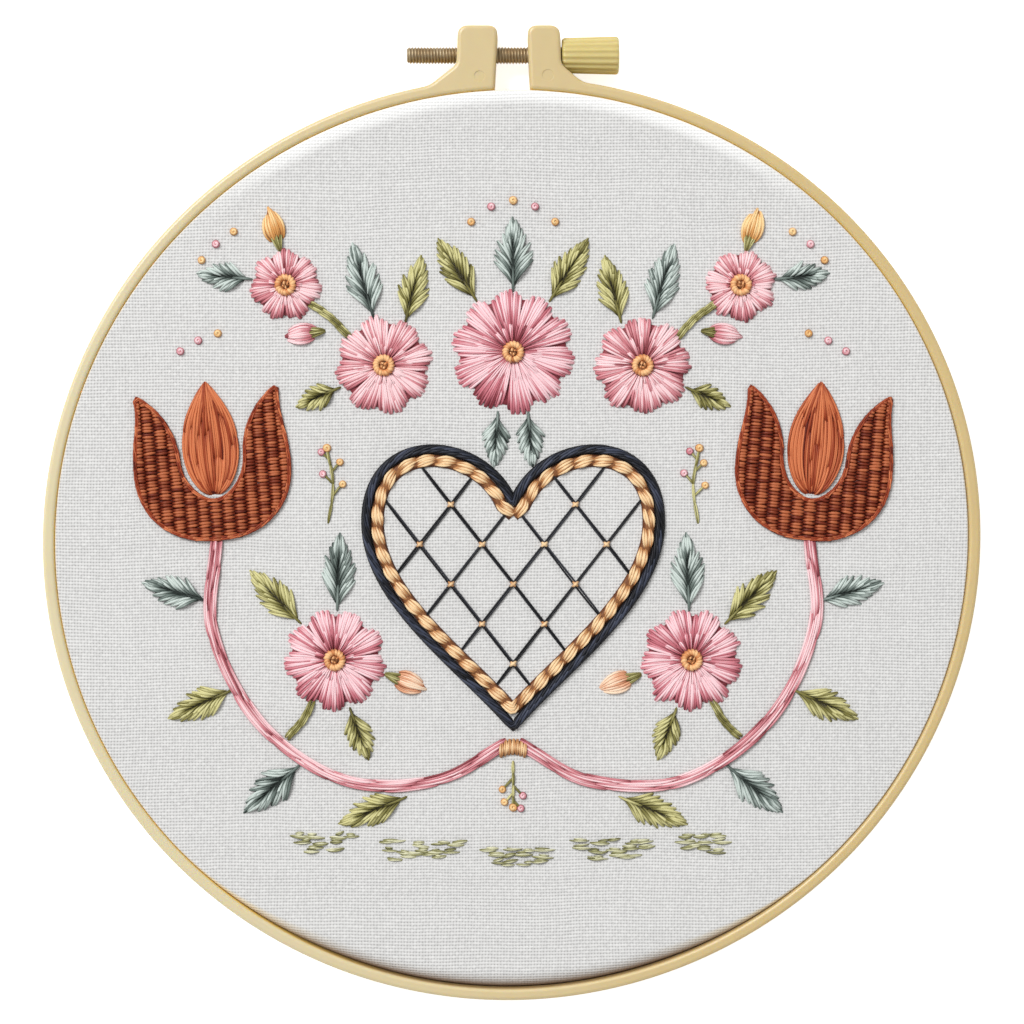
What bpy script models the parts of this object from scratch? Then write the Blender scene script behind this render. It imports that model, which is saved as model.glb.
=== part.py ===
"""Round linen stretched in a plastic screw hoop and embroidered with a heart, tulips and daisies.

Units are metres. The hoop lies on its back: X runs to the right, Y towards the screw and Z up, out of
the cloth's face. Z = 0 is the back of both rings. Places on the hoop are measured from its centre.
"""

import math

import bmesh
import bpy
from mathutils import Matrix, Vector

MM = 0.001
GAP = 0.3 * MM                       # clearance between any two pieces

# Outer ring: the screw pulls it a little oval.
RING_HALF_WIDTH = 105.0 * MM
RING_HALF_HEIGHT = 103.3 * MM
OVAL = RING_HALF_HEIGHT / RING_HALF_WIDTH
RING_WALL = 2.7 * MM
RING_DEPTH = 9.2 * MM
RING_EDGE = 0.5 * MM                 # rounding of its four edges
TURN_STEPS = 96

# Cloth and inner ring nest inside the outer ring.
CLOTH_THICKNESS = 1.0 * MM
CLOTH_TOP = 8.8 * MM
CLOTH_SHOULDER = 2.8 * MM            # radius of the bend over the inner ring
CLOTH_HEM_HEIGHT = 0.8 * MM          # the trimmed edge ends this far above the back
CLOTH_RADIUS = RING_HALF_WIDTH - RING_WALL - GAP
INNER_RING_RADIUS = CLOTH_RADIUS - CLOTH_THICKNESS - GAP
INNER_RING_WALL = 3.0 * MM
SHOULDER_STEPS = 3

# Lugs and screw
LUG_TOP = 115.2 * MM
LUG_CORNER = 1.8 * MM
LUG_FOOT = 100.75 * MM               # the lugs' lower ends lie in the ring's wall
LUG_EDGE = 0.45 * MM
SPLIT_CUT = (-5.2 * MM, 5.6 * MM)    # the wall is missing here, and the lugs close it to the split
SCREW_Y = 109.0 * MM
SCREW_Z = RING_DEPTH / 2
ROD_RADIUS = 1.73 * MM
ROD_FREE_END = -23.3 * MM
ROD_CHAMFER = 0.5 * MM
KNOB_START = 11.45 * MM
KNOB_END = 24.0 * MM
KNOB_RADIUS = 4.15 * MM
KNOB_EDGE = 0.7 * MM
KNOB_FLUTES = 16
FLUTE_DEPTH = 0.35 * MM
KNOB_SOCKET_DEPTH = 8.0 * MM
KNOB_CLEARANCE = 0.35 * MM
MARK_DEPTH = 0.25 * MM

# The object's own origin is the middle of its box, at the back.
HOOP_CENTRE_Y = -(LUG_TOP - RING_HALF_HEIGHT) / 2

# Each lug: x of its split side at the foot and at the top, x of its outer side, foot of its slope
LUGS = {
    "left": {"split_foot": -3.85, "split_top": -3.1, "outer_top": -12.0, "outer_step": -12.5,
             "step_y": 106.4, "slope_x": -18.7, "slope_y": 101.2, "slope_base_y": 100.2,
             "mark_x": -7.3, "mark_y": 103.6, "mark_radius": 1.25},
    "right": {"split_foot": 4.35, "split_top": 3.7, "outer_top": 11.0, "outer_step": 11.15,
              "step_y": 106.7, "slope_x": 18.4, "slope_y": 101.7, "slope_base_y": 100.2,
              "mark_x": 8.1, "mark_y": 103.7, "mark_radius": 1.35},
}

# Stitched relief, in millimetres from the hoop's centre
STITCH_FLOOR = CLOTH_TOP + GAP
ROPE_WIDTH, ROPE_HEIGHT = 2.9 * MM, 1.7 * MM
CHAIN_WIDTH, CHAIN_HEIGHT = 2.0 * MM, 1.2 * MM
STEM_WIDTH, STEM_HEIGHT = 2.7 * MM, 1.3 * MM
VINE_WIDTH, VINE_HEIGHT = 1.7 * MM, 1.1 * MM
LATTICE_WIDTH, LATTICE_HEIGHT = 0.7 * MM, 0.6 * MM
LATTICE_PITCH = 11.0 * MM
LATTICE_ANGLE = 52.0
LATTICE_CENTRE = (0.0, -10.0)

# Right half of the heart, from its cleft over the lobe to its widest point, then down to the tip
HEART_LOBE = ((0, 8), (6, 24), (33, 26), (33, 4))
HEART_SIDE = ((33, 4), (33, -14), (12, -28), (0, -42))

STEM_ROUTE = ((3.2, -46.2), (17, -54), (38, -54), (57, -41), (67.5, -20), (66.3, -2.4))
VINE_ROUTES = {
    "upper": ((37.9, 46.5), (40.9, 49.7), (44.2, 51.9)),
    "lower": ((45.4, -37.6), (47.4, -40.9), (50.0, -43.4)),
}

# Tulip, upright with its foot at (0, 0): right half of the cup, then of the middle petal
TULIP_PLACE = {"x": 66.0, "y": 0.0, "lean": 5.0}
TULIP_HEIGHT = 1.3 * MM
TULIP_BELLY = ((0, 0), (9, -0.5), (17.5, 5), (17.5, 16))
TULIP_HORN = ((17.5, 16), (17.5, 24), (15, 28), (16.5, 34))
TULIP_THROAT = ((16.5, 34), (10, 30), (7.3, 24), (7.2, 18))
TULIP_NOTCH = ((7.2, 18), (7.0, 13), (3, 9), (0, 9))
PETAL_SIDE = ((0, 9.8), (4, 10.5), (6.7, 16), (6.5, 21))
PETAL_TIP = ((6.5, 21), (6.3, 28), (3, 31), (0, 36))

DAISY_HEIGHT = 1.5 * MM
DAISY_KNOT_RADIUS = 2.35 * MM
DAISY_KNOT_HEIGHT = 2.2 * MM
DAISY_STEPS = 24
DAISY_SCALLOPS = 8
DAISIES = [
    {"name": "daisy_top", "x": 0.0, "y": 42.0, "radius": 14.0, "paired": False},
    {"name": "daisy_upper", "x": 29.0, "y": 39.0, "radius": 11.0, "paired": True},
    {"name": "daisy_lower", "x": 40.0, "y": -27.0, "radius": 11.5, "paired": True},
    {"name": "daisy_outer", "x": 51.0, "y": 57.0, "radius": 8.0, "paired": True},
]

LEAF_HEIGHT = 1.1 * MM
LEAVES = [
    {"name": "leaf_top", "x": 0.0, "y": 56.9, "angle": 90, "length": 15, "width": 7.4,
     "thread": "sage_thread", "paired": False},
    {"name": "leaf_top_side", "x": 8.8, "y": 54.4, "angle": 58, "length": 15, "width": 6.4,
     "thread": "olive_thread", "paired": True},
    {"name": "leaf_cleft", "x": 3.5, "y": 27.4, "angle": -86, "length": 11, "width": 5.4,
     "thread": "sage_thread", "paired": True},
    {"name": "leaf_upper_tall", "x": 31.6, "y": 50.8, "angle": 74, "length": 16, "width": 6.8,
     "thread": "sage_thread", "paired": True},
    {"name": "leaf_upper_inner", "x": 23.9, "y": 49.8, "angle": 104, "length": 14, "width": 6.0,
     "thread": "olive_thread", "paired": True},
    {"name": "leaf_upper_low", "x": 39.9, "y": 33.6, "angle": -24, "length": 9.5, "width": 5.0,
     "thread": "olive_thread", "paired": True},
    {"name": "leaf_lower_tall", "x": 39.4, "y": -14.8, "angle": 92, "length": 16, "width": 6.8,
     "thread": "sage_thread", "paired": True},
    {"name": "leaf_lower_side", "x": 48.4, "y": -18.0, "angle": 46, "length": 15, "width": 6.4,
     "thread": "olive_thread", "paired": True},
    {"name": "leaf_lower_down", "x": 36.2, "y": -39.0, "angle": -110, "length": 11, "width": 5.6,
     "thread": "olive_thread", "paired": True},
    {"name": "leaf_outer", "x": 59.8, "y": 58.4, "angle": 6, "length": 11, "width": 5.6,
     "thread": "sage_thread", "paired": True},
    {"name": "leaf_stem_low", "x": 25.0, "y": -58.2, "angle": -22, "length": 15, "width": 6.2,
     "thread": "olive_thread", "paired": True},
    {"name": "leaf_stem_middle", "x": 48.8, "y": -51.4, "angle": -40, "length": 15, "width": 6.8,
     "thread": "sage_thread", "paired": True},
    {"name": "leaf_stem_side", "x": 64.0, "y": -34.2, "angle": -24, "length": 14.5, "width": 6.2,
     "thread": "olive_thread", "paired": True},
    {"name": "leaf_stem_high", "x": 69.9, "y": -13.4, "angle": 16, "length": 13.5, "width": 6.2,
     "thread": "sage_thread", "paired": True},
]

BUD_HEIGHT = 1.2 * MM
BUDS = [
    {"name": "bud_outer", "x": 52.5, "y": 65.8, "angle": 74, "length": 9.0, "width": 4.0,
     "thread": "ochre_thread", "paired": True},
    {"name": "bud_upper", "x": 43.4, "y": 46.6, "angle": -8, "length": 8.5, "width": 3.8,
     "thread": "pink_thread", "paired": True},
    {"name": "bud_lower", "x": 27.6, "y": -30.6, "angle": 200, "length": 9.0, "width": 4.0,
     "thread": "peach_thread", "paired": True},
]

MATERIALS = {
    "cream_plastic": {"colour": (0.74, 0.60, 0.35), "roughness": 0.38, "metallic": 0.0},
    "linen": {"colour": (0.74, 0.74, 0.72), "roughness": 0.9, "metallic": 0.0},
    "zinc_steel": {"colour": (0.42, 0.30, 0.15), "roughness": 0.35, "metallic": 1.0},
    "navy_thread": {"colour": (0.012, 0.013, 0.022), "roughness": 0.5, "metallic": 0.0},
    "black_thread": {"colour": (0.010, 0.010, 0.012), "roughness": 0.5, "metallic": 0.0},
    "tan_thread": {"colour": (0.56, 0.30, 0.12), "roughness": 0.45, "metallic": 0.0},
    "pink_thread": {"colour": (0.80, 0.33, 0.38), "roughness": 0.45, "metallic": 0.0},
    "rust_thread": {"colour": (0.33, 0.08, 0.03), "roughness": 0.5, "metallic": 0.0},
    "copper_thread": {"colour": (0.52, 0.15, 0.06), "roughness": 0.45, "metallic": 0.0},
    "sage_thread": {"colour": (0.19, 0.24, 0.22), "roughness": 0.5, "metallic": 0.0},
    "olive_thread": {"colour": (0.26, 0.25, 0.08), "roughness": 0.5, "metallic": 0.0},
    "ochre_thread": {"colour": (0.68, 0.36, 0.12), "roughness": 0.45, "metallic": 0.0},
    "peach_thread": {"colour": (0.76, 0.36, 0.24), "roughness": 0.45, "metallic": 0.0},
}


def clear_scene():
    for obj in list(bpy.data.objects):
        bpy.data.objects.remove(obj, do_unlink=True)


def new_collection(name):
    collection = bpy.data.collections.new(name)
    bpy.context.scene.collection.children.link(collection)
    return collection


def make_materials():
    for name, look in MATERIALS.items():
        material = bpy.data.materials.new(name)
        material.use_nodes = True
        shader = material.node_tree.nodes["Principled BSDF"]
        shader.inputs["Base Color"].default_value = (*look["colour"], 1.0)
        shader.inputs["Roughness"].default_value = look["roughness"]
        shader.inputs["Metallic"].default_value = look["metallic"]


def make_empty(name, location, parent=None):
    empty = bpy.data.objects.new(name, None)
    empty.location = location
    empty.parent = parent
    parts.objects.link(empty)
    return empty


def add_object(name, data, material, parent):
    obj = bpy.data.objects.new(name, data)
    data.materials.append(bpy.data.materials[material])
    obj.parent = parent
    parts.objects.link(obj)
    return obj


def add_cutter(name, mesh, parent, location=(0, 0, 0)):
    obj = bpy.data.objects.new(name, mesh)
    obj.parent = parent
    obj.location = location
    obj.hide_render = True
    obj.display_type = "WIRE"
    cutters.objects.link(obj)
    return obj


def cut(obj, cutter):
    modifier = obj.modifiers.new(cutter.name, "BOOLEAN")
    modifier.operation = "DIFFERENCE"
    modifier.object = cutter


def join(obj, other):
    modifier = obj.modifiers.new(other.name, "BOOLEAN")
    modifier.operation = "UNION"
    modifier.object = other


def bake(obj):
    """Turns a curve or a modified mesh into a plain welded mesh."""
    bpy.context.view_layer.update()
    graph = bpy.context.evaluated_depsgraph_get()
    mesh = bpy.data.meshes.new_from_object(obj.evaluated_get(graph))
    shape = bmesh.new()
    shape.from_mesh(mesh)
    bmesh.ops.remove_doubles(shape, verts=shape.verts, dist=0.001 * MM)
    shape.to_mesh(mesh)
    shape.free()
    if obj.type == "CURVE":
        solid = bpy.data.objects.new(obj.name, mesh)
        solid.parent = obj.parent
        solid.matrix_world = obj.matrix_world
        for collection in obj.users_collection:
            collection.objects.link(solid)
        name = obj.name
        bpy.data.objects.remove(obj, do_unlink=True)
        solid.name = name
        return solid
    obj.modifiers.clear()
    obj.data = mesh
    return obj


def shade(obj, sharp_degrees=35):
    obj.data.shade_smooth()
    obj.data.set_sharp_from_angle(angle=math.radians(sharp_degrees))


def bezier(span, steps):
    """Points along one cubic span given in millimetres, without its last point."""
    a, b, c, d = (Vector(point) * MM for point in span)
    found = []
    for i in range(steps):
        t = i / steps
        s = 1 - t
        found.append(a * s**3 + b * 3 * s * s * t + c * 3 * s * t * t + d * t**3)
    return found


def through(points, steps):
    """A smooth curve through points given in millimetres."""
    knots = [Vector(point) * MM for point in points]
    knots = [2 * knots[0] - knots[1], *knots, 2 * knots[-1] - knots[-2]]
    found = []
    for a, b, c, d in zip(knots, knots[1:], knots[2:], knots[3:]):
        for i in range(steps):
            t = i / steps
            found.append(0.5 * (2 * b + (c - a) * t + (2 * a - 5 * b + 4 * c - d) * t**2
                                + (3 * b - a - 3 * c + d) * t**3))
    return [*found, knots[-2]]


def mirrored(half):
    """Closes an outline whose right half starts and ends on the middle line."""
    return half + [Vector((-point.x, point.y)) for point in reversed(half[1:-1])]


def spaced(points, spacing):
    """The closed outline again, with points an even distance apart."""
    loop = [*points, points[0]]
    lengths = [(b - a).length for a, b in zip(loop, loop[1:])]
    count = round(sum(lengths) / spacing)
    step = sum(lengths) / count
    found, walked, index = [], 0.0, 0
    for i in range(count):
        while walked + lengths[index] < i * step:
            walked += lengths[index]
            index += 1
        found.append(loop[index].lerp(loop[index + 1], (i * step - walked) / lengths[index]))
    return found


def distance_to(point, outline):
    nearest = math.inf
    for a, b in zip(outline, outline[1:] + outline[:1]):
        along = b - a
        t = min(1.0, max(0.0, (point - a).dot(along) / along.length_squared))
        nearest = min(nearest, (point - a - along * t).length)
    return nearest


def inside_by(outline, distance):
    """The clockwise outline moved inwards, with what crosses over at corners left out."""
    found = []
    for before, point, after in zip(outline[-1:] + outline, outline, outline[1:] + outline[:1]):
        along = (after - before).normalized()
        moved = point + Vector((along.y, -along.x)) * distance
        if distance_to(moved, outline) > 0.98 * distance:
            found.append(moved)
    return found


def heart_outline():
    tip = Vector(HEART_SIDE[-1]) * MM
    return mirrored([*bezier(HEART_LOBE, 24), *bezier(HEART_SIDE, 24), tip])


def turned(name, profile, steps, material, parent):
    """A profile of (radius, height) pairs turned about Z. A ring's profile closes on itself."""
    mesh = bpy.data.meshes.new(name)
    edges = [(i, i + 1) for i in range(len(profile) - 1)]
    if profile[0][0] > 0:
        edges.append((len(profile) - 1, 0))
    mesh.from_pydata([(radius, 0, height) for radius, height in profile], edges, [])
    obj = add_object(name, mesh, material, parent)
    screw = obj.modifiers.new("turn", "SCREW")
    screw.axis = "Z"
    screw.steps = steps
    screw.render_steps = steps
    screw.use_merge_vertices = True
    screw.merge_threshold = 0.001 * MM
    screw.use_smooth_shade = True
    return obj


def arc(centre, radius, start, end, steps):
    """(x, y) pairs on an arc, both ends included, in degrees."""
    found = []
    for i in range(steps + 1):
        angle = math.radians(start + (end - start) * i / steps)
        found.append((centre[0] + radius * math.cos(angle), centre[1] + radius * math.sin(angle)))
    return found


def cylinder_along_x(radius, start, end, segments):
    shape = bmesh.new()
    turn = Matrix.Translation(((start + end) / 2, 0, 0)) @ Matrix.Rotation(math.pi / 2, 4, "Y")
    bmesh.ops.create_cone(shape, cap_ends=True, segments=segments, radius1=radius, radius2=radius,
                          depth=end - start, matrix=turn)
    mesh = bpy.data.meshes.new("cylinder")
    shape.to_mesh(mesh)
    shape.free()
    return mesh


def box_mesh(low, high):
    shape = bmesh.new()
    centre = (Vector(low) + Vector(high)) / 2
    size = Vector(high) - Vector(low)
    bmesh.ops.create_cube(shape, size=1.0,
                          matrix=Matrix.Translation(centre) @ Matrix.Diagonal((*size, 1.0)))
    mesh = bpy.data.meshes.new("box")
    shape.to_mesh(mesh)
    shape.free()
    return mesh


def flat_shape(name, outline, bottom, height, edge, material, parent):
    """An outline filled and thickened upwards from bottom, with rounded edges."""
    curve = bpy.data.curves.new(name, "CURVE")
    curve.dimensions = "2D"
    curve.fill_mode = "BOTH"
    curve.extrude = height / 2 - edge
    curve.bevel_depth = edge
    curve.bevel_resolution = 1
    curve.offset = -edge
    spline = curve.splines.new("POLY")
    spline.points.add(len(outline) - 1)
    spline.use_cyclic_u = True
    for target, point in zip(spline.points, outline):
        target.co = (point[0], point[1], 0, 1)
    obj = add_object(name, curve, material, parent)
    obj.location.z = bottom + height / 2
    return obj


def stitched_line(name, points, width, height, closed, material, parent):
    """A low rounded line of stitches that lies on the cloth along points."""
    curve = bpy.data.curves.new(name, "CURVE")
    curve.dimensions = "3D"
    curve.bevel_depth = width / 2
    curve.bevel_resolution = 1
    curve.use_fill_caps = not closed
    spline = curve.splines.new("POLY")
    spline.points.add(len(points) - 1)
    spline.use_cyclic_u = closed
    for target, point in zip(spline.points, points):
        target.co = (point.x, point.y, 0, 1)
    obj = add_object(name, curve, material, parent)
    obj.scale.z = height / width
    obj.location.z = STITCH_FLOOR + height / 2
    return obj


def lug_outline(lug):
    side = math.copysign(1, lug["outer_top"])
    top = LUG_TOP / MM
    corner = LUG_CORNER / MM
    split_arc = arc((lug["split_top"] + side * corner, top - corner), corner,
                    90 + side * 90, 90, 4)
    outer_arc = arc((lug["outer_top"] - side * corner, top - corner), corner,
                    90, 90 - side * 90, 4)
    points = [(lug["split_foot"], LUG_FOOT / MM), *split_arc, *outer_arc,
              (lug["outer_step"], lug["step_y"]), (lug["slope_x"], lug["slope_y"]),
              (lug["slope_x"], lug["slope_base_y"]), (lug["split_foot"] * 1.6, LUG_FOOT / MM)]
    return [(x * MM, y * MM) for x, y in points]


def make_outer_ring():
    """The split ring, its two lugs, the screw's hole, room for the knob and two moulding marks."""
    inner, outer = RING_HALF_WIDTH - RING_WALL, RING_HALF_WIDTH
    profile = [
        *arc((outer - RING_EDGE, RING_DEPTH - RING_EDGE), RING_EDGE, 90, 0, 2),
        *arc((outer - RING_EDGE, RING_EDGE), RING_EDGE, 0, -90, 2),
        *arc((inner + RING_EDGE, RING_EDGE), RING_EDGE, 270, 180, 2),
        *arc((inner + RING_EDGE, RING_DEPTH - RING_EDGE), RING_EDGE, 180, 90, 2),
    ]
    ring = turned("outer_ring", profile, TURN_STEPS, "cream_plastic", hoop)
    ring.scale.y = OVAL
    split = add_cutter("split", box_mesh((SPLIT_CUT[0], RING_HALF_HEIGHT * 0.95, -MM),
                                         (SPLIT_CUT[1], RING_HALF_HEIGHT * 1.05, 11 * MM)), hoop)
    cut(ring, split)
    for name, lug in LUGS.items():
        solid = flat_shape(f"lug_{name}", lug_outline(lug), 0, RING_DEPTH, LUG_EDGE,
                           "cream_plastic", hoop)
        solid = bake(solid)
        parts.objects.unlink(solid)
        cutters.objects.link(solid)
        solid.hide_render = True
        solid.display_type = "WIRE"
        join(ring, solid)
    bore = add_cutter("screw_bore", cylinder_along_x(ROD_RADIUS + GAP, -16 * MM, 14 * MM, 24),
                      hoop, (0, SCREW_Y, SCREW_Z))
    room = add_cutter("knob_room", cylinder_along_x(KNOB_RADIUS + KNOB_CLEARANCE, 11.3 * MM,
                                                    KNOB_END + 2 * MM, 32),
                      hoop, (0, SCREW_Y, SCREW_Z))
    cut(ring, bore)
    cut(ring, room)
    for name, lug in LUGS.items():
        shape = bmesh.new()
        bmesh.ops.create_cone(shape, cap_ends=True, segments=16, radius1=lug["mark_radius"] * MM,
                              radius2=lug["mark_radius"] * MM, depth=2 * MARK_DEPTH)
        mesh = bpy.data.meshes.new(f"mark_{name}")
        shape.to_mesh(mesh)
        shape.free()
        cut(ring, add_cutter(f"mark_{name}", mesh, hoop,
                             (lug["mark_x"] * MM, lug["mark_y"] * MM, RING_DEPTH)))
    return ring


def make_cloth():
    """The drum-tight face, the bend over the inner ring and the edge clamped between the rings."""
    bend = (CLOTH_RADIUS - CLOTH_SHOULDER, CLOTH_TOP - CLOTH_SHOULDER)
    under = CLOTH_SHOULDER - CLOTH_THICKNESS
    profile = [
        (0, CLOTH_TOP),
        *arc(bend, CLOTH_SHOULDER, 90, 0, SHOULDER_STEPS),
        (CLOTH_RADIUS, CLOTH_HEM_HEIGHT),
        (CLOTH_RADIUS - CLOTH_THICKNESS, CLOTH_HEM_HEIGHT),
        *arc(bend, under, 0, 90, SHOULDER_STEPS),
        (0, CLOTH_TOP - CLOTH_THICKNESS),
    ]
    cloth = turned("cloth", profile, TURN_STEPS, "linen", hoop)
    cloth.scale.y = OVAL


def make_inner_ring():
    """The ring under the cloth, with its front edge rounded to the cloth's bend."""
    bend = (CLOTH_RADIUS - CLOTH_SHOULDER, CLOTH_TOP - CLOTH_SHOULDER)
    radius = CLOTH_SHOULDER - CLOTH_THICKNESS - GAP
    top = bend[1] + radius
    inner = INNER_RING_RADIUS - INNER_RING_WALL
    profile = [
        *arc(bend, radius, 90, 0, SHOULDER_STEPS),
        (INNER_RING_RADIUS, RING_EDGE), (INNER_RING_RADIUS - RING_EDGE, 0),
        (inner + RING_EDGE, 0), (inner, RING_EDGE),
        (inner, top - RING_EDGE), (inner + RING_EDGE, top),
    ]
    ring = turned("inner_ring", profile, TURN_STEPS, "cream_plastic", hoop)
    ring.scale.y = OVAL


def make_screw():
    """The rod and the fluted knob turn together about the screw's axis."""
    rod_profile = [
        (0, KNOB_START + KNOB_SOCKET_DEPTH - GAP), (ROD_RADIUS, KNOB_START + KNOB_SOCKET_DEPTH - GAP),
        (ROD_RADIUS, ROD_FREE_END + ROD_CHAMFER),
        (ROD_RADIUS - ROD_CHAMFER, ROD_FREE_END), (0, ROD_FREE_END),
    ]
    rod = turned("screw_rod", rod_profile, 24, "zinc_steel", screw_axis)
    rod.rotation_euler.y = math.pi / 2

    knob_profile = [
        (0, KNOB_END), (KNOB_RADIUS - KNOB_EDGE, KNOB_END), (KNOB_RADIUS, KNOB_END - KNOB_EDGE),
        (KNOB_RADIUS, KNOB_START + KNOB_EDGE), (KNOB_RADIUS - KNOB_EDGE, KNOB_START),
        (0, KNOB_START),
    ]
    knob = turned("screw_knob", knob_profile, 4 * KNOB_FLUTES, "cream_plastic", screw_axis)
    knob = bake(knob)
    for vertex in knob.data.vertices:
        reach = math.hypot(vertex.co.x, vertex.co.y)
        if reach > KNOB_RADIUS / 2:
            wave = math.cos(KNOB_FLUTES * math.atan2(vertex.co.y, vertex.co.x))
            share = 1 - FLUTE_DEPTH / reach * (1 - wave) / 2
            vertex.co.x *= share
            vertex.co.y *= share
    knob.rotation_euler.y = math.pi / 2
    socket = add_cutter("knob_socket",
                        cylinder_along_x(ROD_RADIUS + GAP, KNOB_START - MM,
                                         KNOB_START + KNOB_SOCKET_DEPTH, 24), screw_axis)
    cut(knob, socket)


def make_heart():
    outline = heart_outline()
    stitched_line("heart_rope", spaced(outline, 4 * MM), ROPE_WIDTH, ROPE_HEIGHT, True,
                  "navy_thread", hoop)
    chain_line = inside_by(outline, ROPE_WIDTH / 2 + GAP + CHAIN_WIDTH / 2)
    stitched_line("heart_chain", spaced(chain_line, 4 * MM), CHAIN_WIDTH, CHAIN_HEIGHT, True,
                  "tan_thread", hoop)
    make_lattice(inside_by(outline, ROPE_WIDTH / 2 + 2 * GAP + CHAIN_WIDTH + LATTICE_WIDTH / 2))


def crossings(start, along, outline):
    """How far along a line it crosses the outline, in order."""
    found = []
    for a, b in zip(outline, outline[1:] + outline[:1]):
        edge = b - a
        det = along.x * edge.y - along.y * edge.x
        if abs(det) < 1e-12:
            continue
        away = a - start
        on_edge = (away.x * along.y - away.y * along.x) / det
        if 0 <= on_edge < 1:
            found.append((away.x * edge.y - away.y * edge.x) / det)
    return sorted(found)


def lattice_bars(outline, degrees, shape, reach):
    """Adds the lattice's straight threads in one direction, each from side to side of the heart."""
    along = Vector((math.cos(math.radians(degrees)), math.sin(math.radians(degrees))))
    across = Vector((-along.y, along.x))
    centre = Vector(LATTICE_CENTRE) * MM
    for i in range(-reach, reach + 1):
        start = centre + across * LATTICE_PITCH * i
        ends = crossings(start, along, outline)
        if len(ends) < 2 or ends[-1] - ends[0] < 1.5 * LATTICE_PITCH:
            continue
        for low, high in zip(ends[::2], ends[1::2]):
            middle = start + along * (low + high) / 2
            place = (Matrix.Translation((middle.x, middle.y, STITCH_FLOOR + LATTICE_HEIGHT / 2))
                     @ Matrix.Rotation(math.radians(degrees), 4, "Z")
                     @ Matrix.Diagonal((high - low, LATTICE_WIDTH, LATTICE_HEIGHT, 1)))
            bmesh.ops.create_cube(shape, size=1.0, matrix=place)


def make_lattice(outline):
    """Straight threads laid across the heart both ways, as one piece where they cross."""
    halves = []
    for name, degrees in (("heart_lattice", LATTICE_ANGLE), ("crossing", 180 - LATTICE_ANGLE)):
        shape = bmesh.new()
        lattice_bars(outline, degrees, shape, 4)
        mesh = bpy.data.meshes.new(name)
        shape.to_mesh(mesh)
        shape.free()
        halves.append(mesh)
    lattice = add_object("heart_lattice", halves[0], "black_thread", hoop)
    join(lattice, add_cutter("lattice_crossing", halves[1], hoop))


def make_daisy(name, x, y, radius):
    """A low ring of petals with a scalloped rim round a raised knot."""
    reach = radius * MM
    petal_profile = [
        (0, DAISY_KNOT_HEIGHT), (0.6 * DAISY_KNOT_RADIUS, 0.9 * DAISY_KNOT_HEIGHT),
        (DAISY_KNOT_RADIUS, 0.5 * DAISY_HEIGHT), (0.6 * reach, DAISY_HEIGHT),
        (reach, 0.45 * DAISY_HEIGHT), (0.96 * reach, 0), (0, 0),
    ]
    daisy = turned(name, petal_profile, DAISY_STEPS, "pink_thread", hoop)
    daisy = bake(daisy)
    for vertex in daisy.data.vertices:
        if vertex.co.xy.length > 0.8 * reach:
            wave = math.cos(DAISY_SCALLOPS * math.atan2(vertex.co.y, vertex.co.x))
            vertex.co.xy *= 0.96 + 0.04 * wave
    daisy.location = (x * MM, y * MM, STITCH_FLOOR)
    shade(daisy)


def almond(name, row, side, height, parent):
    """A pointed leaf or bud, flat below and domed above, that starts at the row's place."""
    mesh = bpy.data.meshes.new(name)
    shape = bmesh.new()
    bmesh.ops.create_uvsphere(shape, u_segments=6, v_segments=7, radius=1.0,
                              matrix=Matrix.Rotation(math.pi / 2, 4, "Y"))
    for vertex in shape.verts:
        along, across, up = vertex.co
        ring = max(math.sqrt(max(0.0, 1 - along * along)), 1e-6)
        share = (along + 1) / 2
        fullness = math.sin(math.pi * share**0.85) ** 0.9 if 0 < share < 1 else 0
        vertex.co.x = share * row["length"] * MM
        vertex.co.y = across / ring * fullness * row["width"] * MM / 2
        vertex.co.z = max(up / ring * fullness**0.6, -0.3) * height / 1.3
    bmesh.ops.remove_doubles(shape, verts=shape.verts, dist=0.001 * MM)
    shape.to_mesh(mesh)
    shape.free()
    obj = add_object(name, mesh, row["thread"], parent)
    obj.location = (side * row["x"] * MM, row["y"] * MM, STITCH_FLOOR + 0.3 * height / 1.3)
    turn = row["angle"] if side > 0 else 180 - row["angle"]
    obj.rotation_euler.z = math.radians(turn)
    shade(obj)


def sides_of(row):
    """(name, side) for a row that stands in the middle or once on each side."""
    if not row["paired"]:
        return [(row["name"], 1)]
    return [(f"{row['name']}_right", 1), (f"{row['name']}_left", -1)]


def flipped(points, side):
    return [Vector((side * point.x, point.y)) for point in points]


def make_tulip(side_name, side):
    foot = make_empty(f"tulip_{side_name}_foot",
                      (side * TULIP_PLACE["x"] * MM, TULIP_PLACE["y"] * MM, 0), hoop)
    foot.rotation_euler.z = math.radians(-side * TULIP_PLACE["lean"])
    notch = Vector(TULIP_NOTCH[-1]) * MM
    cup = mirrored([*bezier(TULIP_BELLY, 7), *bezier(TULIP_HORN, 5), *bezier(TULIP_THROAT, 5),
                    *bezier(TULIP_NOTCH, 5), notch])
    flat_shape(f"tulip_{side_name}_cup", cup, STITCH_FLOOR, TULIP_HEIGHT, 0.3 * MM,
               "rust_thread", foot)
    tip = Vector(PETAL_TIP[-1]) * MM
    petal = mirrored([*bezier(PETAL_SIDE, 6), *bezier(PETAL_TIP, 6), tip])
    flat_shape(f"tulip_{side_name}_petal", petal, STITCH_FLOOR, TULIP_HEIGHT, 0.3 * MM,
               "copper_thread", foot)


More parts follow.
